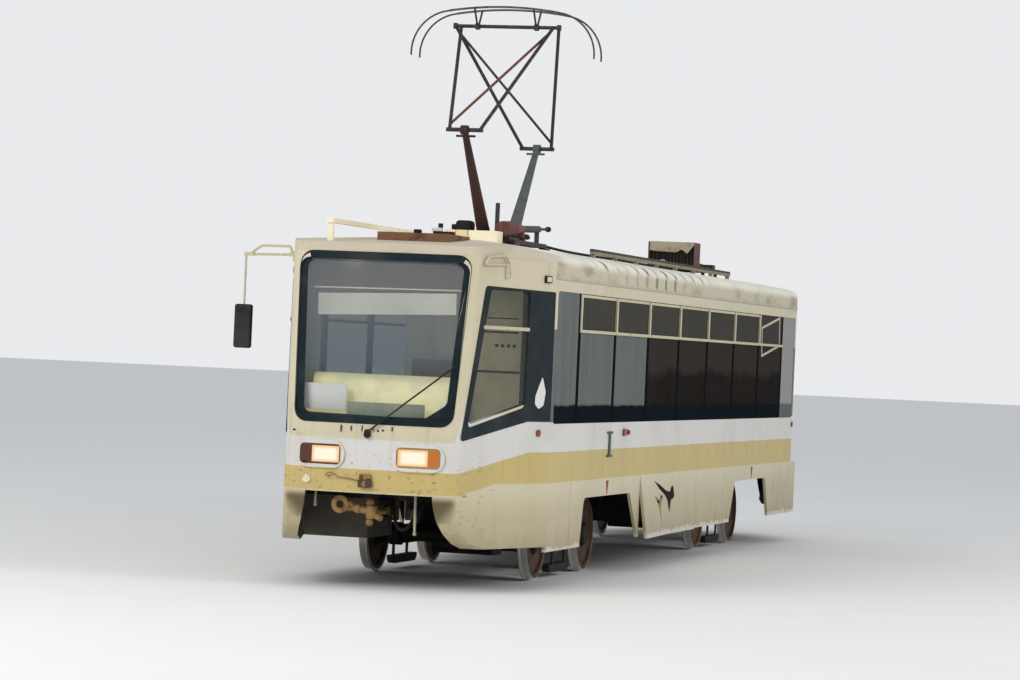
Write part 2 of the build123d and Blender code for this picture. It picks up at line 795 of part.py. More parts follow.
with BuildPart() as mirror_arms:
    # The right arm stands out and carries the mirror
    root = -(cab_side(mirror_y) + 14)
    loop = [(root, 2948), (-1340, 2938), (-1225, 3020), (-960, 3022)]
    bent_loop([(x, mirror_y, z) for x, z in loop], mirror_bend, 11)
    rod((-mirror_x, mirror_y, mirror_top + fit_gap), (-mirror_x, mirror_y, 2955), 10)
    block((-mirror_x - 16, -1290), (mirror_y - 16, mirror_y + 16), (2924, 2956))
    block((root - 40, root + 8), (mirror_y - 16, mirror_y + 16), (2930, 2966))
    # The left one has lost its mirror and lies folded back along the cab
    left_wall = side_face(-1, 1)
    corners = [Vector(along, height, folded_arm_out) for along, height in folded_arm]
    bent_loop([left_wall.from_local_coords(corner) for corner in corners], mirror_bend, 11)
    for side, along, height, tall in ((-1, mirror_foot, 2935, 90), (1, folded_arm[-1][0], 2875, 130)):
        with BuildSketch(side_face(-1, side)) as plate:
            with Locations((side * along, height)):
                RectangleRounded(80, tall, 10)
        extrude(plate.sketch, amount=14)
    for along, height in ((290, 2924), (folded_arm[-1][0] - 36, 2938)):
        with BuildSketch(left_wall) as stub:
            with Locations((along, height)):
                Circle(9)
        extrude(stub.sketch, amount=folded_arm_out + 4)
save(mirror_arms, "mirror_arms")

with BuildPart() as mirror_head:
    with Locations((-mirror_x, mirror_y, (mirror_top + mirror_bottom) / 2)):
        Box(166, 60, mirror_top - mirror_bottom)
    fillet(mirror_head.edges(), 24)
save(mirror_head, "mirror_head")

with BuildPart() as wiper:
    with BuildSketch(face_plane(-15, 1400)):
        Circle(26)
    extrude(amount=34)
    rod((-15, -half_length - 24, 1400), (349, -half_length - 22, 1690), 8)
    rod((349, -half_length - 22, 1690), (733, -half_length + 52, 2005), 8)
save(wiper, "wiper")

# Roof gear


def roof_height(x, inset=0):
    """Height of the roof's surface at a distance from the middle, along its level stretch."""
    half = half_width - roof_cove_width - inset
    rise = roof_crown - roof_seam - roof_cove_height
    radius = (half**2 + rise**2) / (2 * rise)
    return roof_crown - inset - (radius - math.sqrt(radius**2 - x**2))


with BuildPart() as roof_rails:
    for side in (-1, 1):
        x = side * 540
        block((x - 22, x + 22), (-1760, 5300), (roof_height(500) + 30, roof_height(500) + 85))
        for step in range(8):
            y = -1700 + step * 990
            block((x - 20, x + 20), (y - 30, y + 30), (roof_height(560), roof_height(500) + 30))
    add(roof_solid(0), mode=Mode.SUBTRACT)
save(roof_rails, "roof_rails")

with BuildPart() as roof_hatch:
    hatch_rear = -roof_flat_half - hatch_start
    block((-hatch_half, hatch_half), (hatch_rear - hatch_length, hatch_rear), (roof_seam, roof_crown + hatch_proud))
    fillet(roof_hatch.edges().filter_by(Axis.Z), 30)
    add(roof_solid(0), mode=Mode.SUBTRACT)
save(roof_hatch, "roof_hatch")

with BuildPart() as roof_fittings:
    block((-260, 260), (-4480, -4250), (roof_seam, 3315))
    fillet(roof_fittings.edges().filter_by(Axis.Z), 25)
    for y in (-7000, -4550):
        block((-625, -575), (y - 20, y + 20), (roof_seam, 3250))
    block((-630, -570), (-7040, -4500), (3250, 3290))
    add(roof_solid(0), mode=Mode.SUBTRACT)
save(roof_fittings, "roof_fittings")

with BuildPart() as resistor_bank:
    # An upright box of resistor grids, open to the front and the rear, then low switches behind it
    for side in (-1, 1):
        block((side * bank_half - 6, side * bank_half + 6), (bank_front, bank_rear), (3260, bank_top))
        block((side * 260 - 18, side * 260 + 18), (bank_front - 40, 5900), (3240, 3290))
        for y in (bank_front, 5120, 5860):
            block((side * 260 - 18, side * 260 + 18), (y - 20, y + 20), (roof_seam, 3240))
    for row in range(5):
        y = bank_front + 50 + row * 58
        block((-bank_half, bank_half), (y - 9, y + 9), (3310, bank_top - 20))
    for y in (bank_front + 20, bank_rear, 5860):
        block((-250, 250), (y - 20, y + 20), (3250, 3290))
    for front, rear, top in ((4950, 5150, 3340), (5300, 5560, 3315), (5700, 5880, 3350)):
        block((-250, 250), (front, rear), (3280, top))
    add(roof_solid(0), mode=Mode.SUBTRACT)
save(resistor_bank, "resistor_bank")

with BuildPart() as resistor_cover:
    # A loose sheet over the box, its front flap torn along the lower edge
    block((-bank_half, bank_half), (bank_front - 10, bank_rear), (bank_top + fit_gap, bank_top + 6))
    with BuildSketch(Plane.XZ.offset(4 - bank_front)):
        Polygon((-bank_half + 15, bank_top + 6), (-bank_half + 15, 3470), (-190, 3458), (60, 3450),
                (120, 3485), (150, 3472), (195, 3438), (bank_half - 10, 3535), (bank_half - 10, bank_top + 6),
                align=None)
    extrude(amount=6)
save(resistor_cover, "resistor_cover")

# Current collector


def knee_point(side, angle):
    """Height and place of one knee above its shaft; side is -1 in front, 1 behind."""
    turn = math.radians(angle)
    y = mast_middle + side * (shaft_offset + lower_arm * math.cos(turn))
    return Vector(0, y, shaft_height + lower_arm * math.sin(turn))


apex_run = shaft_offset + lower_arm * math.cos(math.radians(lower_angle))
apex_height = shaft_height + lower_arm * math.sin(math.radians(lower_angle))
apex_height += math.sqrt(upper_arm**2 - apex_run**2)
front_shaft = Vector(0, mast_middle - shaft_offset, shaft_height)
rear_shaft = Vector(0, mast_middle + shaft_offset, shaft_height)
front_knee_point = knee_point(-1, lower_angle)
rear_knee_point = knee_point(1, lower_angle)
apex = Vector(0, mast_middle, apex_height)

with BuildPart() as pantograph_base:
    base_top = shaft_height - base_drop
    base_low = base_top - base_beam
    # The end beams are lower than the rest, clear of the arms' roots when the collector is folded
    end_beam_top = base_top - end_beam_recess
    for x in (-base_half_width, base_half_width - base_beam):
        block((x, x + base_beam), (mast_middle - base_half_length, mast_middle + base_half_length),
              (base_low, base_top))
    for along, top in ((-base_half_length, end_beam_top), (0, base_top),
                       (base_half_length - base_beam, end_beam_top)):
        y = mast_middle + along
        block((-base_half_width, base_half_width), (y, y + base_beam), (base_low, top))
    for x in (base_beam / 2 - base_half_width, base_half_width - base_beam / 2):
        for along in (base_beam / 2 - base_half_length, base_half_length - base_beam / 2):
            y = mast_middle + along
            rod((x, y, roof_seam), (x, y, base_low), 38)
    for shaft in (front_shaft, rear_shaft):
        for side in (-1, 1):
            x = side * 120
            block((x - 15, x + 15), (shaft.Y - 40, shaft.Y + 40), (base_low, shaft_height + 40))
            rod((x - 20, shaft.Y, shaft.Z), (x + 20, shaft.Y, shaft.Z), 25 + bearing_gap, Mode.SUBTRACT)
            block(tuple(sorted((side * 105, side * base_half_width))), (shaft.Y - 30, shaft.Y + 30),
                  (base_low, base_low + 25))
    # Hook post in the middle
    block((-22, 22), (mast_middle - 70, mast_middle + base_beam / 2), (base_low, base_top))
    block((-18, 18), (mast_middle - 68, mast_middle - 32), (base_top - 5, hook_post_top))
    # Lowering motor along the left side: motor, cone, cylinder and a thin rod with a knob, on three feet
    reach = Vector(0, 1760, 75)
    places = [motor_place + reach * share for share in (0, 0.19, 0.42, 0.78, 1)]
    rod(places[0], places[1], 78)
    with BuildSketch(Plane(origin=places[1] - reach * 0.005, z_dir=reach)) as wide:
        Circle(58)
    with BuildSketch(Plane(origin=places[2], z_dir=reach)) as narrow:
        Circle(38)
    loft([wide.sketch, narrow.sketch])
    rod(places[2] - reach * 0.01, places[3], 34)
    rod(places[3] - reach * 0.01, places[4], 13)
    disc(places[4], reach, 28, 40)
    for along, half, top in ((-base_half_length, 45, 3290), (0, 20, 3350),
                             (base_half_length - base_beam, 20, 3385)):
        y = mast_middle + along
        block((motor_place.X - half, motor_place.X + half), (y, y + base_beam), (base_low, top))
    add(roof_solid(0), mode=Mode.SUBTRACT)
save(pantograph_base, "pantograph_base")


def lower_arm_piece(shaft, knee):
    """One lower arm: a cross shaft in its bearings and a tapered tube up to an eye at the knee."""
    rod((-shaft_half, shaft.Y, shaft.Z), (shaft_half, shaft.Y, shaft.Z), 25)
    run = (knee - shaft).normalized()
    with BuildSketch(Plane(origin=shaft, z_dir=run)) as root:
        Circle(arm_root_radius)
    with BuildSketch(Plane(origin=knee - run * 30, z_dir=run)) as tip:
        Circle(arm_tip_radius)
    loft([root.sketch, tip.sketch])
    stub = knee - run * 75
    rod(stub - Vector(95, 0, 0), stub + Vector(95, 0, 0), 11)
    disc(knee, (1, 0, 0), 44, 70)
    disc(knee, (1, 0, 0), tube_radius + 2 + bearing_gap, 80, Mode.SUBTRACT)


with BuildPart() as pantograph_lower_front:
    lower_arm_piece(front_shaft, front_knee_point)
save(pantograph_lower_front, "pantograph_lower_front")

with BuildPart() as pantograph_lower_rear:
    lower_arm_piece(rear_shaft, rear_knee_point)
save(pantograph_lower_rear, "pantograph_lower_rear")


def upper_frame(knee, top, half_top, slope):
    """Two side tubes and a diagonal from the knee's cross tube to the top."""
    rod((-knee_half_width - 30, knee.Y, knee.Z), (knee_half_width + 30, knee.Y, knee.Z), tube_radius + 2)
    run = top - knee
    past = top + run.normalized() * 6
    for side in (-1, 1):
        rod((side * knee_half_width, knee.Y, knee.Z), (side * half_top, past.Y, past.Z), tube_radius - 1)
    low = knee + run * 0.05
    high = knee + run * 0.95
    low_half = knee_half_width + (half_top - knee_half_width) * 0.05
    high_half = knee_half_width + (half_top - knee_half_width) * 0.95
    rod((slope * -low_half, low.Y, low.Z), (slope * high_half, high.Y, high.Z), tube_radius - 5)


with BuildPart() as pantograph_upper_front:
    upper_frame(front_knee_point, apex, apex_half_width - 30, 1)
    rod((-apex_half_width, apex.Y, apex.Z), (apex_half_width, apex.Y, apex.Z), tube_radius)
save(pantograph_upper_front, "pantograph_upper_front")

with BuildPart() as pantograph_upper_rear:
    rear_top = apex_half_width + 28
    upper_frame(rear_knee_point, apex, rear_top, -1)
    for side in (-1, 1):
        disc((side * rear_top, apex.Y, apex.Z), (1, 0, 0), 30, 36)
save(pantograph_upper_rear, "pantograph_upper_rear")

with BuildPart() as pantograph_head:
    bow_z = apex_height + bow_rise
    bow_end = bow_z - bow_sag
    for y in (mast_middle - bow_spacing, mast_middle + bow_spacing):
        # Contact strip: a flat band that falls gently to both ends
        with BuildSketch(Plane.XZ.offset(bow_width / 2 - y)) as strip:
            with BuildLine():
                ThreePointArc((-bow_half_width, bow_end), (0, bow_z), (bow_half_width, bow_end))
                Line((bow_half_width, bow_end), (bow_half_width, bow_end - bow_thickness))
                ThreePointArc((bow_half_width, bow_end - bow_thickness), (0, bow_z - bow_thickness),
                              (-bow_half_width, bow_end - bow_thickness))
                Line((-bow_half_width, bow_end - bow_thickness), (-bow_half_width, bow_end))
            make_face()
        extrude(strip.sketch, amount=-bow_width)
        for side in (-1, 1):
            root = (side * (bow_half_width - 15), y, bow_end - bow_thickness / 2)
            with BuildLine() as horn:
                ThreePointArc(root, (side * (horn_half_width - 90), y, bow_z - 0.42 * bow_drop),
                              (side * horn_half_width, y, bow_z - bow_drop))
            with BuildSketch(Plane(origin=horn.line @ 0, z_dir=horn.line % 0)) as tip:
                Circle(horn_radius)
            sweep(tip.sketch, path=horn.line)
    for x in (-300, 300):
        disc((x, mast_middle, apex_height), (1, 0, 0), 34, 40)
        disc((x, mast_middle, apex_height), (1, 0, 0), tube_radius + bearing_gap, 60, Mode.SUBTRACT)
        for side in (-1, 1):
            rod((x, mast_middle + side * 28, apex_height + 10),
                (x, mast_middle + side * bow_spacing, bow_z - 16), 10)
save(pantograph_head, "pantograph_head")

# Inside

with BuildPart() as seats:
    seat_rows = [(x, y) for x in (seat_left,) for y in range(-4700, 5400, 1000)]
    seat_rows += [(-seat_left, y) for y in (-4700, -3700, -2800, -300, 2600, 3600, 4600)]
    for x, y in seat_rows:
        with BuildSketch(Plane.YZ.offset(x - 220)):
            with BuildLine():
                Polyline((y - 130, floor_top), (y - 130, 1290), (y - 230, 1300), (y - 230, 1345),
                         (y + 150, 1335), (y + 240, 1790), (y + 275, 1785), (y + 200, 1290), (y + 60, 1290),
                         (y + 60, floor_top), close=True)
            make_face()
        extrude(amount=440)
    # The driver's seat keeps its distance from the partition
    y = -front_knee - driver_setback
    with BuildSketch(Plane.YZ.offset(-20)):
        with BuildLine():
            Polyline((y, floor_top), (y, 1330), (y - 160, 1340), (y - 160, 1410), (y + 240, 1400), (y + 330, 2060),
                     (y + 410, 2050), (y + 320, 1330), (y + 190, 1330), (y + 190, floor_top), close=True)
        make_face()
    extrude(amount=460)
save(seats, "seats")

with BuildPart() as handrails:
    for side in (-1, 1):
        x = side * rail_offset
        rod((x, 280 - front_knee, rail_height), (x, rear_knee - 250, rail_height), 16)
        for step in range(7):
            y = -4400 + step * 1450
            rod((x, y, floor_top), (x, y, rail_height), 16)
save(handrails, "handrails")

with BuildPart() as partition:
    with BuildSketch(Plane.XZ.offset(front_knee + 10)):
        with Locations((0, (floor_top + 2950) / 2)):
            Rectangle(2 * (inner_side - 18), 2950 - floor_top)
        with Locations((560, 2050)):
            Rectangle(820, 900, mode=Mode.SUBTRACT)
        with Locations((-560, 2050)):
            Rectangle(820, 900, mode=Mode.SUBTRACT)
    extrude(amount=30)
save(partition, "partition")

with BuildPart() as console:
    with BuildSketch(Plane.YZ):
        with BuildLine():
            nose = -half_length
            Polyline((nose + 170, floor_top), (nose + 170, 1500), (nose + 290, 1500), (nose + 330, 1600),
                     (nose + 540, 1640), (nose + 600, 1560), (nose + 500, 1440), (nose + 440, floor_top), close=True)
        make_face()
    extrude(amount=700, both=True)
save(console, "console")

with BuildPart() as sign_boards:
    front = board_setback - half_length
    block((-660, -300), (front, front + 10), (1500, 1735))
    block((-290, 340), (front, front + 10), (1500, 1640))
save(sign_boards, "sign_boards")

# Couplers: an anchor eye on its pin, a drawbar and a head folded to one side

with BuildPart() as coupler_front:
    anchor = Vector(0, 60 - frame_end, coupler_height)
    elbow = Vector(0, -coupler_reach, coupler_height)
    eye = Vector(-288, -coupler_reach - 9, coupler_height + 57)
    disc(anchor, (0, 0, 1), 46, 60)
    rod(anchor - Vector(0, 35, 0), elbow, 30)
    disc(elbow, (0, 0, 1), 52, 110)
    rod(elbow, eye, 32)
    disc(eye, (0, 1, 0), 78, 64)
    disc(eye, (0, 1, 0), eye_radius, 80, Mode.SUBTRACT)
    disc(anchor, (0, 0, 1), coupler_pin, 80, Mode.SUBTRACT)
save(coupler_front, "coupler_front")

with BuildPart() as coupler_rear:
    add(coupler_front.part.rotate(Axis.Z, 180))
save(coupler_rear, "coupler_rear")

# Bogies, drawn about their own centre and placed by the end of the body that they carry


def wheel_profile():
    """Half-section of a wheelset along its axle: both wheels, their hubs and the axle."""
    inner = back_to_back / 2
    outer = inner + wheel_width
    flange = inner + flange_width
    flange_radius = tread_radius + flange_height
    half = [(0, axle_radius), (inner - 70, axle_radius), (inner - 70, axle_radius + 30),
            (inner, axle_radius + 45), (inner + 18, axle_radius + 60), (inner + 18, tread_radius - 60),
            (inner, tread_radius - 55), (inner, flange_radius - 8), (inner + 10, flange_radius),
            (flange - 6, flange_radius - 6), (flange + 4, tread_radius), (outer, tread_radius - 3),
            (outer, tread_radius - 55), (outer - 22, tread_radius - 62), (outer - 30, axle_radius + 60),
            (outer, axle_radius + 42), (outer + 12, axle_radius + 30), (outer + 12, 0)]
    return [(-x, z) for x, z in reversed(half)] + half


def wheelset(y):
    """One axle with its two wheels."""
    with BuildSketch(Plane.XZ.offset(-y)) as section:
        with BuildLine():
            outline = [(x, axle_height + z) for x, z in wheel_profile()]
            Polyline(*dict.fromkeys(outline), close=True)
        make_face()
    revolve(section.sketch, axis=Axis((0, y, axle_height), (1, 0, 0)))


def bogie_frame(middle):
    """Two longitudinal beams with axle bearings, joined by two cross members."""
    for side in (-1, 1):
        x = side * beam_offset
        with BuildSketch(Plane.YZ.offset(x - beam_width / 2)) as beam:
            Polygon((middle - 1110, 310), (middle - 1110, 420), (middle - 800, beam_top),
                    (middle + 800, beam_top), (middle + 1110, 420), (middle + 1110, 310),
                    (middle + 800, beam_bottom - 40), (middle - 800, beam_bottom - 40), align=None)
        extrude(beam.sketch, amount=beam_width)
        for axle in (-1, 1):
            y = middle + axle * wheelbase / 2
            disc((x, y, axle_height), (1, 0, 0), axle_radius + 45, beam_width)
            disc((x, y, axle_height), (1, 0, 0), axle_radius + bearing_gap, beam_width + 20, Mode.SUBTRACT)
    for along in (-180, 180):
        y = middle + along
        block((-beam_offset, beam_offset), (y - 60, y + 60), (beam_bottom, beam_top))


def bogie_bolster(middle):
    """The cross beam that carries the body, its pivot and the springs below it."""
    block((-700, 700), (middle - 120, middle + 120), (bolster_bottom, bolster_top))
    for low, high, radius in ((bolster_top, bogie_plate_top, 190), (bogie_plate_top, frame_bottom, pivot_radius)):
        disc((0, middle, (low + high) / 2), (0, 0, 1), radius, high - low)
    for side in (-1, 1):
        x = side * beam_offset
        for turn in range(4):
            height = beam_top + turn * 30
            disc((x, middle, height + 12), (0, 0, 1), 95, 24)
        disc((x, middle, (beam_top + bolster_bottom) / 2), (0, 0, 1), 60, bolster_bottom - beam_top)


def bogie_motors(middle):
    """Two motor blocks fixed to the cross members, with the gear case on each axle."""
    for side in (-1, 1):
        near = middle + side * 240
        far = middle + side * 640
        with BuildSketch(Plane.YZ.offset(-300)) as body:
            with Locations(((near + far) / 2, axle_height + 8)):
                RectangleRounded(abs(far - near), 380, 70)
        extrude(body.sketch, amount=600)


def rail_brakes(middle):
    """Track brake shoes between the wheels, each hung from its beam by two brackets."""
    for side in (-1, 1):
        x = side * (back_to_back / 2 + 45)
        with BuildSketch(Plane.YZ.offset(x - 36)) as shoe:
            Polygon((middle - 400, 130), (middle - 400, 95), (middle - 340, 50), (middle + 340, 50),
                    (middle + 400, 95), (middle + 400, 130), align=None)
        extrude(shoe.sketch, amount=72)
        for along in (-230, 230):
            inner = side * (beam_offset + beam_width / 2)
            outer = x + side * 30
            length = (middle + along - 25, middle + along + 25)
            block(tuple(sorted((inner, outer))), length, (330, 350))
            block(tuple(sorted((x + side * 14, outer))), length, (130, 330))


for name, end in (("front", -1), ("rear", 1)):
    middle = end * bogie_offset
    with BuildPart() as frame:
        bogie_frame(middle)
        bogie_bolster(middle)
    save(frame, f"bogie_{name}")
    with BuildPart() as motors:
        bogie_motors(middle)
    save(motors, f"motors_{name}")
    with BuildPart() as brakes:
        rail_brakes(middle)
    save(brakes, f"rail_brakes_{name}")
    for number, along in ((1, -1), (2, 1)):
        with BuildPart() as axle:
            wheelset(middle + along * wheelbase / 2)
        save(axle, f"wheelset_{name}_{number}")

# Doors: each leaf hangs at its middle on an arm above and an arm below, both on one post at the jamb

leaf_bottom = step_bottom + step_thickness + door_height_gap
leaf_top = door_top - door_height_gap
arm_thickness = 14
pin_radius = 10


def leaf_places():
    """Each leaf's post position along the body, the way it reaches from there, and its sizes."""
    places = []
    for front, rear, leaves in doorways:
        arm, length = leaf_sizes(front, rear, leaves)
        places.append((front + post_inset, 1, arm, length))
        if leaves == 2:
            places.append((rear - post_inset, -1, arm, length))
    return places


def arm_heights():
    """Low and high limits of the lower and the upper arm."""
    low = (step_bottom + step_thickness + 12, step_bottom + step_thickness + 12 + arm_thickness)
    high = (door_top - 12 - arm_thickness, door_top - 12)
    return low, high


for number, (y, way, arm, length) in enumerate(leaf_places(), start=1):
    start = y + way * (post_radius + post_gap)
    centre = y + way * arm
    with BuildPart() as post:
        rod((door_line, y, step_bottom + step_thickness + fit_gap), (door_line, y, door_top - fit_gap),
            post_radius)
        for low, high in arm_heights():
            block((door_line - 12, door_line + 12), tuple(sorted((y, centre))), (low, high))
            disc((door_line, centre, (low + high) / 2), (0, 0, 1), 16, arm_thickness)
    save(post, f"door_post_{number}")
    with BuildPart() as leaf:
        block((door_line - door_thickness / 2, door_line + door_thickness / 2),
              tuple(sorted((start, start + way * length))), (leaf_bottom, leaf_top))
        for low, high in ((leaf_bottom + 90, sill_top + 120), (sill_top + 220, leaf_top - 90)):
            block((door_line - door_thickness, door_line + door_thickness),
                  tuple(sorted((start + way * 90, start + way * (length - 90)))), (low, high), Mode.SUBTRACT)
            block((door_line - 3, door_line + 3),
                  tuple(sorted((start + way * (90 + fit_gap), start + way * (length - 90 - fit_gap)))),
                  (low + fit_gap, high - fit_gap))
        (low_arm, high_arm) = arm_heights()
        rod((door_line, centre, low_arm[1] + fit_gap), (door_line, centre, leaf_bottom), pin_radius)
        rod((door_line, centre, leaf_top), (door_line, centre, high_arm[0] - fit_gap), pin_radius)
    save(leaf, f"door_leaf_{number}")
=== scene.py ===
import math

import bmesh
import bpy
from mathutils import Matrix, Vector
from mathutils.bvhtree import BVHTree


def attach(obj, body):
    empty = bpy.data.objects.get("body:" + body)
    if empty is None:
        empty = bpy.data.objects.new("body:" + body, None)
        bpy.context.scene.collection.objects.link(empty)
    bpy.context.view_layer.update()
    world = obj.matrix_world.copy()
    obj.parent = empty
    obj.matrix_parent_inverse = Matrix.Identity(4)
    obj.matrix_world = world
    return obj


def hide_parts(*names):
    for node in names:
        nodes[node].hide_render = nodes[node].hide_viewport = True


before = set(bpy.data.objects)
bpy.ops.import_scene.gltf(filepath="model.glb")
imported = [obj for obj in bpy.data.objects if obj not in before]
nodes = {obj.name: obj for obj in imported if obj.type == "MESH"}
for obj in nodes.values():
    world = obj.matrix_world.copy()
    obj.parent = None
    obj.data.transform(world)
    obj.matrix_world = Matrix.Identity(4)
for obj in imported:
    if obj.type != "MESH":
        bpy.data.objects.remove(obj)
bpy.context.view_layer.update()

# Metres. The front of the tram faces -Y, +X is its left side, and z = 0 is under the wheel flanges.

HALF_WIDTH = 1.25
FRONT_KNEE = 5.98
NOSE_CORNER = Vector((0.8, -7.41, 0))
WINDOW_BOTTOM = 1.535
VENT_BOTTOM = 2.385
VENT_TOP = 2.732
FIRST_MULLION = -4.995
WINDOW_PITCH = 1.463
LAST_MULLION = FIRST_MULLION + 7 * WINDOW_PITCH
BOGIE_OFFSET = 3.675
WHEELBASE = 1.94
AXLE_HEIGHT = 0.377
TREAD_RADIUS = 0.355
LAMP_OFFSET = 0.45
LAMP_HEIGHT = 1.19
KNEE_HEIGHT = 4.252
APEX_HEIGHT = 5.366

# Colours, in screen values from 0 to 255

CREAM = (206, 197, 168)
ROOF_CREAM = (242, 238, 220)
WHITE_BAND = (214, 211, 206)
OCHRE = (196, 174, 108)
SKIRT_CREAM = (187, 175, 140)
LEG_TAN = (92, 78, 46)
GRIME = (74, 64, 48)
RUST = (112, 62, 36)
BLACK_TRIM = (24, 28, 31)
INNER_BEIGE = (178, 170, 142)
# Near-black painted shade for the underframe and for the shell's faces below the floor
UNDERSIDE_SHADE = (10, 10, 8)


def linear(shade):
    """A colour given in screen values, as the linear one that a shader takes."""
    channels = []
    for value in shade:
        share = value / 255
        channels.append(share / 12.92 if share <= 0.04045 else ((share + 0.055) / 1.055) ** 2.4)
    return (*channels, 1)


# Materials


class Value:
    """A number that a material works out at each point, with plain arithmetic."""

    def __init__(self, paint, socket):
        self.paint = paint
        self.socket = socket

    def step(self, operation, other=0.0):
        node = self.paint.add("ShaderNodeMath")
        node.operation = operation
        self.paint.feed(node.inputs[0], self)
        self.paint.feed(node.inputs[1], other)
        return Value(self.paint, node.outputs[0])

    def __add__(self, other):
        return self.step("ADD", other)

    def __sub__(self, other):
        return self.step("SUBTRACT", other)

    def __rsub__(self, other):
        return self * -1.0 + other

    def __mul__(self, other):
        return self.step("MULTIPLY", other)

    def __truediv__(self, other):
        return self.step("DIVIDE", other)

    def __abs__(self):
        return self.step("ABSOLUTE")

    def ranged(self, numbers, smooth):
        node = self.paint.add("ShaderNodeMapRange")
        if smooth:
            node.interpolation_type = "SMOOTHSTEP"
        for socket, number in zip(node.inputs[:5], (self, *numbers)):
            self.paint.feed(socket, number)
        return Value(self.paint, node.outputs[0])

    def fade(self, low, high, start=0.0, end=1.0):
        """Goes from start to end, smoothly, as the value goes from low to high."""
        return self.ranged((low, high, start, end), True)

    def slope(self, low, high, start, end):
        """Goes from start to end in a straight line, and no further."""
        return self.ranged((low, high, start, end), False)

    def between(self, low, high, soft):
        """1 between low and high, and 0 outside, with soft borders."""
        return self.fade(low - soft, low + soft) * self.fade(high - soft, high + soft, 1.0, 0.0)


class Paint:
    """A material's node tree with short calls that build it up, coat by coat, on its base colour."""

    def __init__(self, name, base=None, metallic=0.0, roughness=0.5, specular=0.5):
        self.material = bpy.data.materials.new(name)
        self.material.use_nodes = True
        self.tree = self.material.node_tree
        self.tree.nodes.clear()
        output = self.add("ShaderNodeOutputMaterial")
        self.shader = self.add("ShaderNodeBsdfPrincipled")
        self.tree.links.new(self.shader.outputs[0], output.inputs[0])
        self.shader.inputs["Metallic"].default_value = metallic
        self.shader.inputs["Roughness"].default_value = roughness
        self.shader.inputs["Specular IOR Level"].default_value = specular
        self.place = self.add("ShaderNodeTexCoord").outputs["Object"]
        self.x, self.y, self.z = self.split(self.place)
        self.base = base

    def add(self, kind):
        return self.tree.nodes.new(kind)

    def feed(self, socket, value):
        """Give an input a number or what another node works out."""
        if isinstance(value, Value):
            value = value.socket
        if isinstance(value, bpy.types.NodeSocket):
            self.tree.links.new(value, socket)
        else:
            socket.default_value = value

    def split(self, vector):
        node = self.add("ShaderNodeSeparateXYZ")
        self.feed(node.inputs[0], vector)
        return [Value(self, output) for output in node.outputs]

    def noise(self, scale, detail=4.0, stretch=None, rough=0.55):
        """Cloudy noise of so many spots a metre; stretch scales it along x, y and z."""
        node = self.add("ShaderNodeTexNoise")
        place = self.place
        if stretch:
            scaling = self.add("ShaderNodeMapping")
            self.feed(scaling.inputs["Vector"], place)
            scaling.inputs["Scale"].default_value = stretch
            place = scaling.outputs[0]
        self.feed(node.inputs["Vector"], place)
        node.inputs["Scale"].default_value = scale
        node.inputs["Detail"].default_value = detail
        node.inputs["Roughness"].default_value = rough
        return Value(self, node.outputs[0])

    def cells(self, scale):
        """Distance to the nearest of scattered points."""
        node = self.add("ShaderNodeTexVoronoi")
        self.feed(node.inputs["Vector"], self.place)
        node.inputs["Scale"].default_value = scale
        return Value(self, node.outputs["Distance"])

    def mix(self, factor, first, second):
        """From the first colour to the second by factor."""
        node = self.add("ShaderNodeMix")
        node.data_type = "RGBA"
        self.feed(node.inputs["Factor"], factor)
        for socket, shade in ((node.inputs[6], first), (node.inputs[7], second)):
            self.feed(socket, linear(shade) if isinstance(shade, tuple) else shade)
        return node.outputs[2]

    def coat(self, factor, shade):
        """Cover the base with another colour by factor."""
        self.base = self.mix(factor, self.base, shade)

    def bump(self, height, depth, strength=1.0):
        node = self.add("ShaderNodeBump")
        node.inputs["Strength"].default_value = strength
        node.inputs["Distance"].default_value = depth
        self.feed(node.inputs["Height"], height)
        self.feed(self.shader.inputs["Normal"], node.outputs[0])

    def glow(self, shade, strength):
        self.feed(self.shader.inputs["Emission Color"], shade)
        self.feed(self.shader.inputs["Emission Strength"], strength)

    def finish(self, roughness=None):
        self.feed(self.shader.inputs["Base Color"], self.base)
        if roughness is not None:
            self.feed(self.shader.inputs["Roughness"], roughness)
        return self.material


def facing_in(paint):
    """1 on the shell's faces that look into the car, and 1 on those that look along its walls."""
    normal = paint.split(paint.add("ShaderNodeNewGeometry").outputs["Normal"])
    outward_y = (abs(paint.y) - 6.0).step("MAXIMUM") * paint.y.step("SIGN")
    across = paint.x * normal[0] + outward_y * normal[1]
    return across.fade(-0.10, -0.02, 1.0, 0.0), abs(across).fade(0.05, 0.16, 1.0, 0.0)


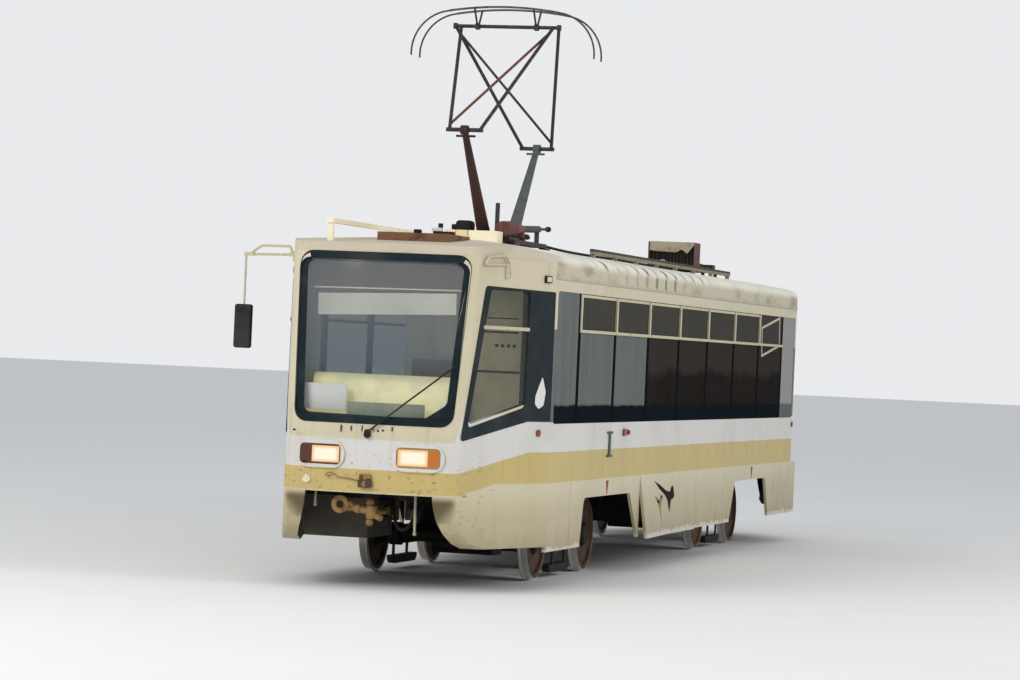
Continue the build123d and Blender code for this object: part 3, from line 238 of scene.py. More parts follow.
def body_paint():
    """Cream shell with a white and an ochre band, dirty and scratched towards the bottom."""
    paint = Paint("body_paint", roughness=0.45)
    along = abs(paint.y)
    ochre_top = along.slope(6.317, 7.41, 1.262, 1.072)
    ochre_bottom = along.slope(6.825, 7.41, 0.978, 0.873)
    white_top = along.slope(7.36, 7.42, 1.60, 1.335)
    height = paint.z + (paint.noise(2.2, 3) * 0.012 - 0.006)
    paint.base = paint.mix(height.fade(0.62, 0.98), SKIRT_CREAM, CREAM)
    paint.coat(height.between(ochre_bottom, white_top, 0.004), WHITE_BAND)
    paint.coat(height.between(ochre_bottom, ochre_top, 0.003), OCHRE)
    # The two legs below the lamps are dirtier than the rest
    paint.coat(along.fade(7.38, 7.43) * paint.z.fade(0.80, 0.88, 1.0, 0.0), LEG_TAN)
    # Broad stains, runs below the windows and splashes near the ground
    paint.coat(paint.noise(1.3, 5).fade(0.45, 0.72) * 0.16, (150, 138, 108))
    paint.coat(paint.noise(1.0, 5, (14.0, 14.0, 1.1)).fade(0.55, 0.78) * 0.22, (120, 108, 84))
    splash = (paint.z + paint.noise(5, 6) * 0.30).fade(0.48, 0.80, 1.0, 0.0)
    paint.coat(splash * 0.42, (128, 114, 84))
    # Scraped lower edge, bare and whitish
    scraped = (paint.noise(9, 5, (1.0, 1.0, 0.5)) * 0.16 + paint.z).fade(0.455, 0.475, 1.0, 0.0)
    paint.coat(scraped * 0.75, (212, 208, 198))
    # Scratches low on the cab side and rust spots all over the lower half
    cab = paint.y.fade(-6.75, -7.15) * paint.z.fade(0.45, 0.60) * paint.z.fade(1.30, 1.05)
    scratch = paint.noise(22, 8, (1.0, 0.35, 1.6), 0.7).fade(0.57, 0.66)
    paint.coat(cab * scratch * 0.8, (110, 84, 58))
    spots = paint.cells(6.5).fade(0.10, 0.045) * paint.noise(1.7, 2).fade(0.52, 0.60)
    paint.coat(spots * paint.z.fade(1.35, 0.7, 0.25, 1.0) * 0.85, RUST)
    # Black between the side windows, below the vents
    saloon = paint.y.between(-5.975, 6.14, 0.002) * abs(paint.x).fade(1.15, 1.16)
    band = saloon * paint.z.between(WINDOW_BOTTOM, VENT_BOTTOM, 0.003)
    paint.coat(band, BLACK_TRIM)
    inside, edge = facing_in(paint)
    paint.coat(edge * paint.z.fade(1.40, 1.45), BLACK_TRIM)
    # Inner faces get beige, and near-black painted shade below the floor
    paint.coat(inside, paint.mix(paint.z.fade(0.92, 0.96), UNDERSIDE_SHADE, INNER_BEIGE))
    paint.bump(paint.noise(0.9, 2) + paint.noise(60, 3) * 0.02, 0.02, 0.35)
    return paint.finish(paint.noise(4, 4) * 0.3 + 0.30 - band * 0.2)


def roof_paint():
    """Pale cream roof, its edge brown with dirt, with dark runs down the slope and on the edge."""
    paint = Paint("roof_paint", roughness=0.55)
    paint.base = paint.mix(paint.z.fade(2.95, 3.04), (196, 187, 162), ROOF_CREAM)
    paint.coat(paint.y.fade(-5.2, -6.4, 0.0, 0.9), (196, 184, 160))
    paint.coat(paint.z.between(2.835, 2.873, 0.004), (188, 180, 160))
    dirt = paint.noise(3.0, 6, (1.0, 0.6, 2.0)).fade(0.48, 0.70)
    paint.coat(dirt * (paint.z.between(2.87, 3.0, 0.02) * 0.45 + 0.16), (132, 118, 90))
    # Dark marks across the slope and short ones on the edge below it
    stretch = paint.y.fade(-4.6, -4.0) * paint.y.fade(1.3, 0.1)
    waver = paint.noise(2.5, 2) * 1.6 + paint.y * 14.0
    uneven = paint.noise(1.0, 4, (1.2, 5.0, 1.2)).fade(0.36, 0.52)
    bars = waver.step("SINE").fade(0.45, 0.95) * stretch * uneven * paint.z.fade(2.97, 3.03)
    paint.coat(bars * 0.85, (66, 62, 54))
    drips = (waver + 1.0).step("SINE").fade(0.60, 0.95) * abs(paint.y + 1.2).fade(0.4, 1.6, 1.0, 0.35)
    drips *= paint.y.between(-3.3, -0.5, 0.2) * paint.z.between(2.872, 2.985, 0.02)
    paint.coat(drips * 0.75, (72, 70, 60))
    paint.coat(paint.noise(1.0, 5, (0.8, 16.0, 0.8)).fade(0.58, 0.75) * 0.35, (140, 128, 100))
    paint.coat(paint.cells(4.0).fade(0.09, 0.04) * paint.noise(2.0, 2).fade(0.5, 0.6) * 0.7, RUST)
    paint.coat(paint.z.fade(2.80, 2.83, 1.0, 0.0), INNER_BEIGE)
    paint.bump(paint.noise(1.1, 2) + paint.noise(50, 3) * 0.03, 0.02, 0.3)
    return paint.finish(paint.noise(4, 4) * 0.3 + 0.38)


def end_lamp_glass():
    """Lamp windows: a lit lamp, a coloured lens and a brown rim in front, red and amber at the rear."""
    paint = Paint("end_lamp_glass", roughness=0.15)
    across = abs(paint.x) - LAMP_OFFSET
    up = abs(paint.z - LAMP_HEIGHT)
    outer = across.fade(0.078, 0.086)
    rim = abs(across).fade(0.176, 0.182).step("MAXIMUM", up.fade(0.068, 0.074))
    left = paint.x.fade(-0.01, 0.01)
    rear = paint.y.fade(-0.1, 0.1)
    amber = (196, 112, 34)
    lens = paint.mix(rear, paint.mix(left, (84, 46, 26), amber), amber)
    paint.base = paint.mix(rear, (255, 246, 214), (122, 30, 24))
    paint.coat(outer, lens)
    paint.coat(rim, paint.mix(left, (92, 56, 34), (168, 128, 78)))
    lit = (1.0 - rear) * (1.0 - outer) * (1.0 - rim)
    warm = up.fade(0.035, 0.078, 1.0, 0.0) * abs(across + 0.045).fade(0.085, 0.145, 1.0, 0.0)
    paint.glow(paint.mix(warm, (246, 184, 104), (255, 250, 226)), lit * 0.92)
    paint.coat(lit, (70, 60, 44))
    paint.bump((paint.x * 500.0).step("SINE"), 0.0006, 0.4)
    return paint.finish()


def small_lens():
    """Small lamps: red-brown at the sides, a white round one and a dark socket in front."""
    paint = Paint("small_lens", roughness=0.25)
    paint.base = paint.mix(paint.x.fade(-0.4, -0.3), (226, 218, 190), (58, 46, 34))
    paint.coat(abs(paint.x).fade(1.08, 1.10), (142, 62, 34))
    paint.coat(paint.noise(30, 4).fade(0.42, 0.7) * 0.45, (96, 76, 52))
    return paint.finish()


def collector_steel(name, tube, diagonal):
    """Upper frame of the collector: its side tubes in one colour and its diagonal in another."""
    paint = Paint(name, tube, metallic=0.2, roughness=0.6)
    rise = paint.z.slope(KNEE_HEIGHT, APEX_HEIGHT, 0.0, 1.0)
    inside = (rise * 0.32 + 0.12 - abs(paint.x)).fade(-0.002, 0.002)
    paint.coat(inside * rise.fade(0.04, 0.06) * rise.fade(0.96, 0.94), diagonal)
    paint.coat(paint.noise(30, 5).fade(0.52, 0.66) * 0.4, (104, 88, 76))
    paint.bump(paint.noise(120, 3), 0.001, 0.4)
    return paint.finish()


def collector_base():
    """Dark collector base; the lowering gear along its left side is red-brown, then grey-green."""
    paint = Paint("collector_base", metallic=0.1, roughness=0.65)
    paint.base = paint.mix(paint.noise(9, 6).fade(0.45, 0.65), (46, 38, 35), (74, 54, 46))
    along = paint.mix(paint.y.fade(-3.875, -3.865), (98, 46, 44), (118, 72, 66))
    along = paint.mix(paint.y.fade(-3.475, -3.465), along, (66, 72, 66))
    along = paint.mix(paint.y.fade(-2.84, -2.83), along, (40, 38, 36))
    paint.coat(paint.x.fade(0.145, 0.155) * paint.z.fade(3.292, 3.296), along)
    paint.coat(paint.noise(22, 6).fade(0.50, 0.68) * 0.35, (110, 94, 78))
    paint.bump(paint.noise(70, 4), 0.002, 0.5)
    return paint.finish()


def rail_paint():
    """Walkway rails: dark on top and pale with dirt below."""
    paint = Paint("rail_paint", roughness=0.65)
    paint.base = paint.mix(paint.z.fade(3.232, 3.238), (150, 140, 114), (52, 46, 38))
    paint.coat(paint.noise(14, 6).fade(0.42, 0.66) * 0.6, (64, 56, 46))
    return paint.finish()


def resistor_paint():
    """Black resistor box with red-brown side sheets."""
    paint = Paint("resistor_paint", roughness=0.7)
    paint.base = paint.mix(paint.noise(11, 6), (20, 19, 18), (48, 42, 38))
    rust = paint.mix(paint.noise(8, 5), (82, 54, 50), (112, 82, 76))
    paint.coat(abs(paint.x).fade(0.268, 0.274) * paint.z.fade(3.29, 3.30), rust)
    paint.bump(paint.noise(60, 4), 0.002, 0.4)
    return paint.finish()


def box_paint():
    """Cream box, posts and beam on the roof; the box has seams and a yellow stain."""
    paint = Paint("box_paint", roughness=0.55)
    box = paint.y.fade(-4.49, -4.485) * abs(paint.x).fade(0.30, 0.29)
    paint.base = paint.mix(paint.noise(5, 6).fade(0.45, 0.72) * 0.3, (246, 236, 204), (176, 160, 124))
    stain = box * paint.x.fade(-0.02, -0.04) * paint.noise(6, 4).fade(0.35, 0.6)
    paint.coat(stain * 0.6, (222, 186, 120))
    for place, width in ((-0.03, 0.006), (-0.152, 0.004)):
        paint.coat(abs(paint.x - place).fade(width, width * 2, 1.0, 0.0) * box * 0.55, (120, 84, 50))
    return paint.finish()


def worn_metal(name, main, second, third, scale=6.0, metallic=0.0, roughness=0.6, share=0.5):
    """Paint or bare metal: its main colour, a second one in patches and a third in small spots."""
    paint = Paint(name, main, metallic=metallic, specular=0.25)
    patches = paint.noise(scale, 6).fade(0.62 - 0.2 * share, 0.78 - 0.2 * share)
    paint.coat(patches, second)
    paint.coat(paint.noise(scale * 5, 5, None, 0.7).fade(0.58, 0.68) * 0.7, third)
    paint.bump(paint.noise(scale * 8, 4) + patches * 0.5, 0.004, 0.4)
    return paint.finish(paint.noise(scale * 3, 4) * 0.3 + (roughness - 0.15))


def plastic(name, main, dirt=GRIME, share=0.25, roughness=0.45, grain=220.0):
    """Moulded plastic or rubber with a fine grain and dust in patches."""
    paint = Paint(name, main, specular=0.18)
    patches = paint.noise(5.0, 5).fade(0.42, 0.75)
    paint.coat(patches * share, dirt)
    paint.bump(paint.noise(grain, 2), 0.0006, 0.5)
    return paint.finish(patches * 0.25 + roughness)


def clear_to_light(paint, alpha):
    """Set a glass's opacity as seen; light itself passes almost unhindered."""
    shadow = Value(paint, paint.add("ShaderNodeLightPath").outputs["Is Shadow Ray"])
    paint.feed(paint.shader.inputs["Alpha"], alpha * (1.0 - shadow).step("MAXIMUM", 0.12))


def window_glass():
    """Side windows: light grey and streaky in front and in the last pane, painted reflection of the sky and
    painted daylight seen through them; dark brown behind; a darker strip along the bottom.
    """
    paint = Paint("window_glass", roughness=0.08, specular=0.0)
    cab = paint.y.fade(-5.97, -5.99)
    streak = paint.noise(1.0, 5, (1.0, 9.0, 0.7))
    paint.base = paint.mix(paint.noise(1.0, 4, (1.0, 3.0, 0.8)), (30, 28, 27), (46, 42, 39))
    paint.coat((paint.noise(1.2, 3) * 0.30 + paint.z).fade(2.12, 2.24) * 0.5, (70, 66, 62))
    # Light grey on the front panes and the last one: painted reflection of the sky and painted daylight seen
    # through the far side
    last = paint.y.fade(5.20, 5.24)
    painted_light_panes = paint.y.fade(-2.04, -2.10).step("MAXIMUM", last)
    paint.coat(painted_light_panes, paint.mix(streak, (90, 97, 96), (120, 124, 120)))
    paint.coat(last * 0.6, (176, 176, 173))
    along = paint.y.fade(-4.99, -4.97) * paint.y.fade(5.24, 5.22)
    vents = along * paint.z.fade(VENT_BOTTOM - 0.01, VENT_BOTTOM + 0.01)
    paint.coat(vents, paint.mix(streak, (64, 63, 60), (80, 78, 73)))
    strip = (paint.noise(2, 2) * 0.05 + paint.z).fade(1.70, 1.73, 1.0, 0.0)
    paint.coat(strip * (1.0 - cab) * paint.y.fade(5.24, 5.20, 0.55, 1.0), (24, 30, 34))
    # Black printed along the panes' joints
    share = (paint.y - FIRST_MULLION) / WINDOW_PITCH
    joint = abs(share - share.step("ROUND")) * WINDOW_PITCH
    paint.coat(joint.fade(0.050, 0.058, 1.0, 0.0) * paint.y.fade(5.9, 5.8) * (1.0 - cab), (22, 25, 28))
    clear_to_light(paint, paint.x.fade(0.0, 0.1, 0.55, 0.95) - cab * 0.79)
    return paint.finish()


def windscreen_glass():
    """End windows, with a blue-grey haze of dust and reflected sky that thins out downwards."""
    paint = Paint("windscreen_glass", roughness=0.05, specular=0.25)
    paint.base = paint.mix(paint.z.fade(1.75, 2.7), (82, 104, 110), (112, 116, 122))
    clear_to_light(paint, paint.z.fade(1.80, 2.05, 0.10, 0.42) + (paint.noise(1.4, 4) * 0.16 - 0.08))
    return paint.finish()


def glossy_black():
    paint = Paint("glossy_black", (26, 36, 40), roughness=0.18, specular=0.12)
    paint.coat(paint.noise(3.0, 5).fade(0.45, 0.8) * 0.2, (88, 92, 90))
    return paint.finish()


def wheel_steel(name, axle_y):
    """Rusty wheel with a bright tread and an oily hub."""
    paint = Paint(name, metallic=0.7)
    across = paint.y - axle_y
    up = paint.z - AXLE_HEIGHT
    reach = (across * across + up * up).step("SQRT")
    tread = (TREAD_RADIUS - 0.012, TREAD_RADIUS - 0.004)
    paint.base = paint.mix(paint.noise(9, 6).fade(0.40, 0.66), (96, 70, 50), (60, 46, 38))
    paint.coat(reach.fade(0.16, 0.12), (40, 36, 32))
    paint.coat(reach.fade(*tread), (176, 172, 166))
    paint.bump(paint.noise(60, 4), 0.002, 0.4)
    return paint.finish(reach.fade(*tread, 0.65, 0.28))


def glowing_cloth(name, shade, strength):
    """Thin pale sheet that glows: painted light for the daylight that falls on it through the windscreen."""
    paint = Paint(name, shade, roughness=0.7)
    paint.coat(paint.noise(6, 4).fade(0.4, 0.7, 0.0, 0.25), (168, 166, 146))
    paint.glow(paint.base, strength)
    return paint.finish()


def tinted_lens(name, shade):
    """Coloured lamp lens with fine ribs."""
    paint = Paint(name, shade, roughness=0.18)
    paint.coat(paint.noise(20, 4).fade(0.45, 0.75) * 0.3, (150, 130, 100))
    paint.bump((paint.z * 900.0).step("SINE"), 0.0008, 0.5)
    return paint.finish()


def ribbed_floor():
    paint = Paint("floor_mat", roughness=0.7)
    paint.base = paint.mix(paint.noise(6, 5), (58, 55, 52), (80, 74, 66))
    paint.coat(abs(paint.x).fade(0.15, 0.6, 0.5, 0.0), (104, 98, 88))
    paint.bump((paint.x * 260.0).step("SINE"), 0.002, 0.6)
    return paint.finish()


def chequer_plate():
    paint = Paint("step_plate", metallic=0.4, roughness=0.5)
    knobs = ((paint.x + paint.y) * 180.0).step("SINE") * ((paint.x - paint.y) * 180.0).step("SINE")
    paint.base = paint.mix(paint.noise(7, 5), (70, 66, 60), (104, 96, 84))
    paint.coat(knobs.fade(0.3, 0.8, 0.0, 0.4), (150, 146, 138))
    paint.bump(knobs, 0.002, 0.7)
    return paint.finish()


MATERIALS = {
    "body": body_paint(),
    "roof": roof_paint(),
    "window_glass": window_glass(),
    "windscreen_glass": windscreen_glass(),
    "trim": worn_metal("cream_trim", (196, 187, 158), (178, 166, 134), (112, 84, 56), 5.0, share=0.3,
                       roughness=0.5),
    "black": plastic("black_plastic", (30, 30, 31), (92, 88, 80), 0.3),
    "rubber": plastic("black_rubber", (20, 20, 20), (80, 76, 68), 0.3, 0.65),
    "gloss": glossy_black(),
    # Near-black sheet over the skirt's tear: painted shade in the gap
    "gap_shade": plastic("painted_gap_shade", (12, 11, 10), GRIME, 0.1, 0.8),
    "floor": ribbed_floor(),
    "steps": chequer_plate(),
    # The underframe's near-black is painted shade under the body; the patches and spots on it are wear
    "frame": worn_metal("underframe_paint_and_shade", UNDERSIDE_SHADE, (58, 46, 36), (84, 58, 40), 4.0, roughness=0.75),
    "roof_steel": worn_metal("roof_steel", (50, 44, 40), (84, 60, 46), (128, 112, 92), 7.0, roughness=0.7),
    "tan": worn_metal("tan_sheet", (166, 158, 134), (142, 128, 100), (104, 80, 58), 4.0, roughness=0.65),
    "rusty": worn_metal("rusty_sheet", (120, 86, 64), (92, 60, 42), (140, 116, 92), 5.0, roughness=0.75),
    "collector_base": collector_base(),
    "collector_rust": worn_metal("collector_rust", (62, 38, 35), (46, 34, 32), (98, 62, 54), 8.0),
    "upper_front": collector_steel("upper_front", (42, 38, 38), (104, 52, 44)),
    "upper_rear": collector_steel("upper_rear", (46, 48, 48), (52, 48, 47)),
    "collector_grey": worn_metal("collector_grey", (86, 91, 88), (62, 66, 64), (118, 116, 108), 8.0),
    "bows": worn_metal("contact_bows", (74, 72, 70), (50, 48, 46), (124, 118, 108), 14.0, 0.6, 0.45),
    "seats": plastic("seat_plastic", (116, 62, 40), (60, 44, 36), 0.5, 0.4),
    "rails": worn_metal("rail_enamel", (190, 184, 158), (150, 142, 118), (104, 92, 74), 9.0, roughness=0.45),
    "panel": plastic("pale_laminate", (196, 190, 164), (142, 132, 104), 0.35, 0.45),
    # The console cover and the visor glow: painted light for daylight through the windscreen
    "console": glowing_cloth("console_cover", (230, 225, 178), 0.24),
    "visor": glowing_cloth("visor_cloth", (206, 208, 190), 0.80),
    "levers": plastic("pale_lever", (190, 184, 160), GRIME, 0.4),
    "board": plastic("white_board", (222, 222, 218), (176, 172, 160), 0.15, 0.55),
    "green_board": plastic("green_grey_board", (150, 156, 138), (108, 116, 102), 0.4, 0.55),
    "coupler": worn_metal("coupler_iron", (146, 116, 72), (98, 72, 44), (178, 148, 100), 9.0, 0.3, 0.65),
    # The bogies' dark paint is darkened further into painted shade under the body
    "bogie": worn_metal("bogie_paint", (24, 22, 20), (44, 36, 30), (76, 56, 40), 6.0, roughness=0.7),
    "motor": worn_metal("motor_iron", (46, 44, 42), (64, 56, 48), (34, 30, 28), 6.0, 0.3, 0.6),
    "door": worn_metal("door_enamel", (200, 191, 162), (176, 164, 132), (116, 88, 60), 4.0, share=0.3,
                       roughness=0.45),
    "door_steel": worn_metal("door_steel", (150, 146, 132), (110, 104, 92), (92, 78, 62), 9.0, 0.3),
    "roof_rails": rail_paint(),
    "resistors": resistor_paint(),
    "roof_box": box_paint(),
    "end_lamps": end_lamp_glass(),
    "small_lamps": small_lens(),
    "lamp_red": tinted_lens("red_brown_lens", (142, 62, 34)),
    "lamp_clear": tinted_lens("clear_lens", (214, 208, 186)),
    "red_mark": worn_metal("red_mark", (138, 52, 40), (108, 46, 36), (170, 120, 96), 16.0, roughness=0.55),
    "porcelain": plastic("brown_porcelain", (92, 52, 36), (60, 44, 36), 0.4, 0.2, 60.0),
}

dressed = {
    "body": ["cab_shell", "rear_shell", "side_left", "side_right", "skirts", "lamp_rings"],
    "roof": ["roof", "cornices"],
    "roof_box": ["roof_fittings"],
    "window_glass": ["side_glass"],
    "windscreen_glass": ["end_glass"],
    "trim": ["vent_frames", "mirror_arms"],
    "end_lamps": ["end_lamps"],
    "small_lamps": ["marker_lamps"],
    "black": ["mirror_head", "wiper"],
    "floor": ["floor"],
    "steps": ["steps"],
    "frame": ["underframe"],
    "roof_rails": ["roof_rails"],
    "resistors": ["resistor_bank"],
    "tan": ["resistor_cover"],
    "rusty": ["roof_hatch"],
    "collector_base": ["pantograph_base"],
    "collector_rust": ["pantograph_lower_front"],
    "collector_grey": ["pantograph_lower_rear"],
    "upper_front": ["pantograph_upper_front"],
    "upper_rear": ["pantograph_upper_rear"],
    "bows": ["pantograph_head"],
    "seats": ["seats"],
    "rails": ["handrails"],
    "panel": ["partition"],
    "board": ["sign_boards"],
    "console": ["console"],
    "coupler": ["coupler_front", "coupler_rear"],
    "bogie": ["bogie_front", "bogie_rear", "rail_brakes_front", "rail_brakes_rear"],
    "motor": ["motors_front", "motors_rear"],
    "door": [f"door_leaf_{number}" for number in range(1, 7)],
    "door_steel": [f"door_post_{number}" for number in range(1, 7)],
}


def dress(node, material):
    """Give a carried-over node its material."""
    data = nodes[node].data
    data.materials.clear()
    data.materials.append(material)


for key, names in dressed.items():
    for name in names:
        dress(name, MATERIALS[key])
for end, sign in (("front", -1), ("rear", 1)):
    for number, side in ((1, -1), (2, 1)):
        axle_y = sign * BOGIE_OFFSET + side * WHEELBASE / 2
        dress(f"wheelset_{end}_{number}", wheel_steel(f"wheel_steel_{end}_{number}", axle_y))

# Shapes

ROUND_SIDES = 14
TURNED_SIDES = 24


def tree_of(name):
    """Search tree over a node's surface."""
    data = nodes[name].data
    corners = [vertex.co.copy() for vertex in data.vertices]
    return BVHTree.FromPolygons(corners, [list(polygon.vertices) for polygon in data.polygons])


def add_object(name, data):
    """Put new data in the scene as an object."""
    thing = bpy.data.objects.new(name, data)
    bpy.context.scene.collection.objects.link(thing)
    return thing


def add_piece(name, data, material, body):
    """Put new geometry in the scene, in a material, riding on a body."""
    data.materials.append(MATERIALS[material])
    thing = add_object(name, data)
    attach(thing, body)
    return thing


class Shapes:
    """Many small solids gathered into one mesh piece."""

    def __init__(self):
        self.mesh = bmesh.new()

    def box(self, low, high, bevel=0.0):
        """A box between two corners, its edges bevelled."""
        low, high = Vector(low), Vector(high)
        matrix = Matrix.Translation((low + high) / 2) @ Matrix.Diagonal((*(high - low), 1))
        made = bmesh.ops.create_cube(self.mesh, size=1, matrix=matrix)
        if bevel:
            edges = list({edge for vertex in made["verts"] for edge in vertex.link_edges})
            bmesh.ops.bevel(self.mesh, geom=edges, offset=bevel, segments=2, profile=0.5, affect="EDGES")

    def rod(self, start, end, radius):
        """A round rod from one point to another."""
        start, end = Vector(start), Vector(end)
        run = end - start
        matrix = Matrix.Translation((start + end) / 2) @ run.to_track_quat("Z", "Y").to_matrix().to_4x4()
        bmesh.ops.create_cone(self.mesh, cap_ends=True, segments=ROUND_SIDES, radius1=radius, radius2=radius,
                              depth=run.length, matrix=matrix)

    def ball(self, middle, radius):
        bmesh.ops.create_uvsphere(self.mesh, u_segments=ROUND_SIDES, v_segments=ROUND_SIDES // 2,
                                  radius=radius, matrix=Matrix.Translation(middle))

    def slab(self, outline, depth):
        """A plate: an outline of points, thickened by the vector depth."""
        depth = Vector(depth)
        front = [self.mesh.verts.new(point) for point in outline]
        back = [self.mesh.verts.new(Vector(point) + depth) for point in outline]
        self.mesh.faces.new(front)
        self.mesh.faces.new(list(reversed(back)))
        for index in range(len(front)):
            after = (index + 1) % len(front)
            self.mesh.faces.new((front[after], front[index], back[index], back[after]))

    def frame(self, outer, inner, depth):
        """A ring plate between two outlines with as many points, thickened by a vector for all."""
        depth = Vector(depth)
        outlines = (outer, inner, [point + depth for point in inner], [point + depth for point in outer])
        loops = [[self.mesh.verts.new(point) for point in outline] for outline in outlines]
        for first, second in zip(loops, loops[1:] + loops[:1]):
            for index in range(len(first)):
                after = (index + 1) % len(first)
                self.mesh.faces.new((first[index], first[after], second[after], second[index]))

    def turned(self, start, direction, profile):
        """A turned form: profile lists the distance along the axis and the radius."""
        direction = Vector(direction).normalized()
        first = direction.orthogonal().normalized()
        second = direction.cross(first)
        rings = []
        for along, radius in profile:
            ring = []
            for step in range(TURNED_SIDES):
                angle = 2 * math.pi * step / TURNED_SIDES
                spot = first * math.cos(angle) * radius + second * math.sin(angle) * radius
                ring.append(self.mesh.verts.new(Vector(start) + direction * along + spot))
            rings.append(ring)
        for low, high in zip(rings, rings[1:]):
            for step in range(TURNED_SIDES):
                after = (step + 1) % TURNED_SIDES
                self.mesh.faces.new((low[step], low[after], high[after], high[step]))
        self.mesh.faces.new(list(reversed(rings[0])))
        self.mesh.faces.new(rings[-1])

    def piece(self, name, material, body="body", slot=None, replaces=(), smooth=40):
        """Turn the gathered shapes into one object that rides on a body."""
        bmesh.ops.recalc_face_normals(self.mesh, faces=self.mesh.faces[:])
        data = bpy.data.meshes.new(name)
        self.mesh.to_mesh(data)
        self.mesh.free()
        data.shade_smooth()
        data.set_sharp_from_angle(angle=math.radians(smooth))
        thing = add_piece(name, data, material, body)
        if replaces:
            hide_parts(*replaces)


def cable(name, points, radius, material, smooth=True):
    """A round tube along control points, as a smooth curve or straight from one to the next."""
    data = bpy.data.curves.new(name, "CURVE")
    data.dimensions = "3D"
    data.bevel_depth = radius
    data.bevel_resolution = 3
    data.use_fill_caps = True
    data.resolution_u = 6
    spline = data.splines.new("NURBS" if smooth else "POLY")
    spline.points.add(len(points) - 1)
    for control, point in zip(spline.points, points):
        control.co = (*point, 1)
    if smooth:
        spline.order_u = 3
        spline.use_endpoint_u = True
    add_piece(name, data, material, "body")


def rounded(corners, radii, steps=6):
    """Points of a flat outline whose corners, two numbers each, are rounded by arcs."""
    points = []
    count = len(corners)
    for index, corner in enumerate(corners):
        corner = Vector(corner)
        before = (Vector(corners[index - 1]) - corner).normalized()
        after = (Vector(corners[(index + 1) % count]) - corner).normalized()
        radius = radii[index] if hasattr(radii, "__len__") else radii
        half = before.angle(after) / 2
        if abs(math.cos(half)) < 0.01:
            points += [corner + (before if step < steps / 2 else after) * radius * abs(1 - 2 * step / steps)
                       for step in range(steps + 1)]
            continue
        reach = radius / math.tan(half)
        centre = corner + (before + after).normalized() * (radius / math.sin(half))
        start = corner + before * reach - centre
        end = corner + after * reach - centre
        turn = start.angle_signed(end)
        for step in range(steps + 1):
            angle = -turn * step / steps
            spot = Vector((start.x * math.cos(angle) - start.y * math.sin(angle),
                           start.x * math.sin(angle) + start.y * math.cos(angle)))
            points.append(centre + spot)
    return points


# End windows: the dark borders bonded on the glass and the windscreen's broad seal, which takes in painted
# shadow at its upper right

end_glass = tree_of("end_glass")
ON_GLASS = -0.0004
BORDER_DEPTH = 0.0015
SEAL_DEPTH = 0.0012
SEAL_PROUD = 0.0035
SEAL_FRONT = -7.5396
SEAM_REACH = 0.006
UPPER_FACE = -7.46
LONG_EDGE = 0.2
LONG_EDGE_STEPS = 16


def on_glass(x, z, end, behind):
    """Point so far behind an end window's outer surface."""
    hit = end_glass.ray_cast(Vector((x, end * 9, z)), Vector((0, -end, 0)))[0]
    return Vector((x, hit.y - end * behind, z))


def end_border(name, end, outer, inner, radii):
    """A dark border bonded round an end window."""
    loops = [rounded(outline, radius) for outline, radius in zip((outer, inner), radii)]
    shapes = Shapes()
    points = [[on_glass(spot.x, spot.y, end, ON_GLASS) for spot in loop] for loop in loops]
    shapes.frame(points[0], points[1], (0, -end * BORDER_DEPTH, 0))
    shapes.piece(name, "gloss", slot="glass")


end_border("windscreen_border", -1,
           [(-0.731, 1.524), (0.20, 1.524), (0.50, 1.524), (0.731, 1.524), (0.788, 2.926), (-0.788, 2.926)],
           [(-0.645, 1.556), (0.20, 1.544), (0.49, 1.546), (0.665, 1.67), (0.735, 2.900), (-0.715, 2.900)],
           ([0.09, 0.02, 0.02, 0.09, 0.09, 0.09], [0.07, 0.05, 0.05, 0.07, 0.06, 0.06]))


def on_walls(walls, x, z):
    """Point just in front of the foremost of some walls, also where a gap lies between two of them."""
    starts = [Vector((x, -9, z + rise)) for rise in (-SEAM_REACH, 0.0, SEAM_REACH)]
    hits = [tree.ray_cast(start, Vector((0, 1, 0)))[0] for tree in walls for start in starts]
    front = min((hit.y for hit in hits if hit is not None), default=UPPER_FACE)
    return Vector((x, max(front - SEAL_PROUD, SEAL_FRONT), z))


def windscreen_seal_and_shadow():
    """A broad dark seal round the windscreen's hole, on the outside of the shell; at the upper right it
    widens into painted shadow beyond the seal.
    """
    walls = [tree_of("cab_shell"), tree_of("roof"), end_glass]
    # The outer outline's upper right reaches out over painted shadow cast beyond the seal
    outer = rounded([(-0.728, 1.470), (0.735, 1.470), (0.808, 2.992), (-0.787, 2.992)], 0.12)
    inner = rounded([(-0.722, 1.526), (0.729, 1.526), (0.786, 2.924), (-0.772, 2.924)], 0.088)
    rows = []
    for loop in (outer, inner):
        row = []
        for index, spot in enumerate(loop):
            after = (index + 1) % len(loop)
            steps = LONG_EDGE_STEPS if (outer[after] - outer[index]).length > LONG_EDGE else 1
            places = [spot.lerp(loop[after], step / steps) for step in range(steps)]
            row += [on_walls(walls, place.x, place.y) for place in places]
        rows.append(row)
    for edge, rim in zip(*rows):
        rim.y = min(rim.y, edge.y + SEAM_REACH)
    shapes = Shapes()
    shapes.frame(rows[0], rows[1], (0, SEAL_DEPTH, 0))
    shapes.piece("windscreen_seal_and_shadow", "gloss")


windscreen_seal_and_shadow()
end_border("rear_window_border", 1,
           [(-0.636, 1.564), (0.636, 1.564), (0.636, 2.696), (-0.636, 2.696)],
           [(-0.585, 1.62), (0.585, 1.62), (0.585, 2.64), (-0.585, 2.64)], (0.09, 0.06))

# Behind the windscreen: a visor on a rod, the dashboard's cover, two blank boards and a pale edge line

BEHIND_GLASS = 0.035
VISOR_STEPS = 16
BOARD_RIBS = 23
BOARD_RIB_PITCH = 0.0305


def along_glass(spots, behind=BEHIND_GLASS):
    """Points behind the windscreen from pairs of distance across and height."""
    return [on_glass(x, z, -1, behind) for x, z in spots]


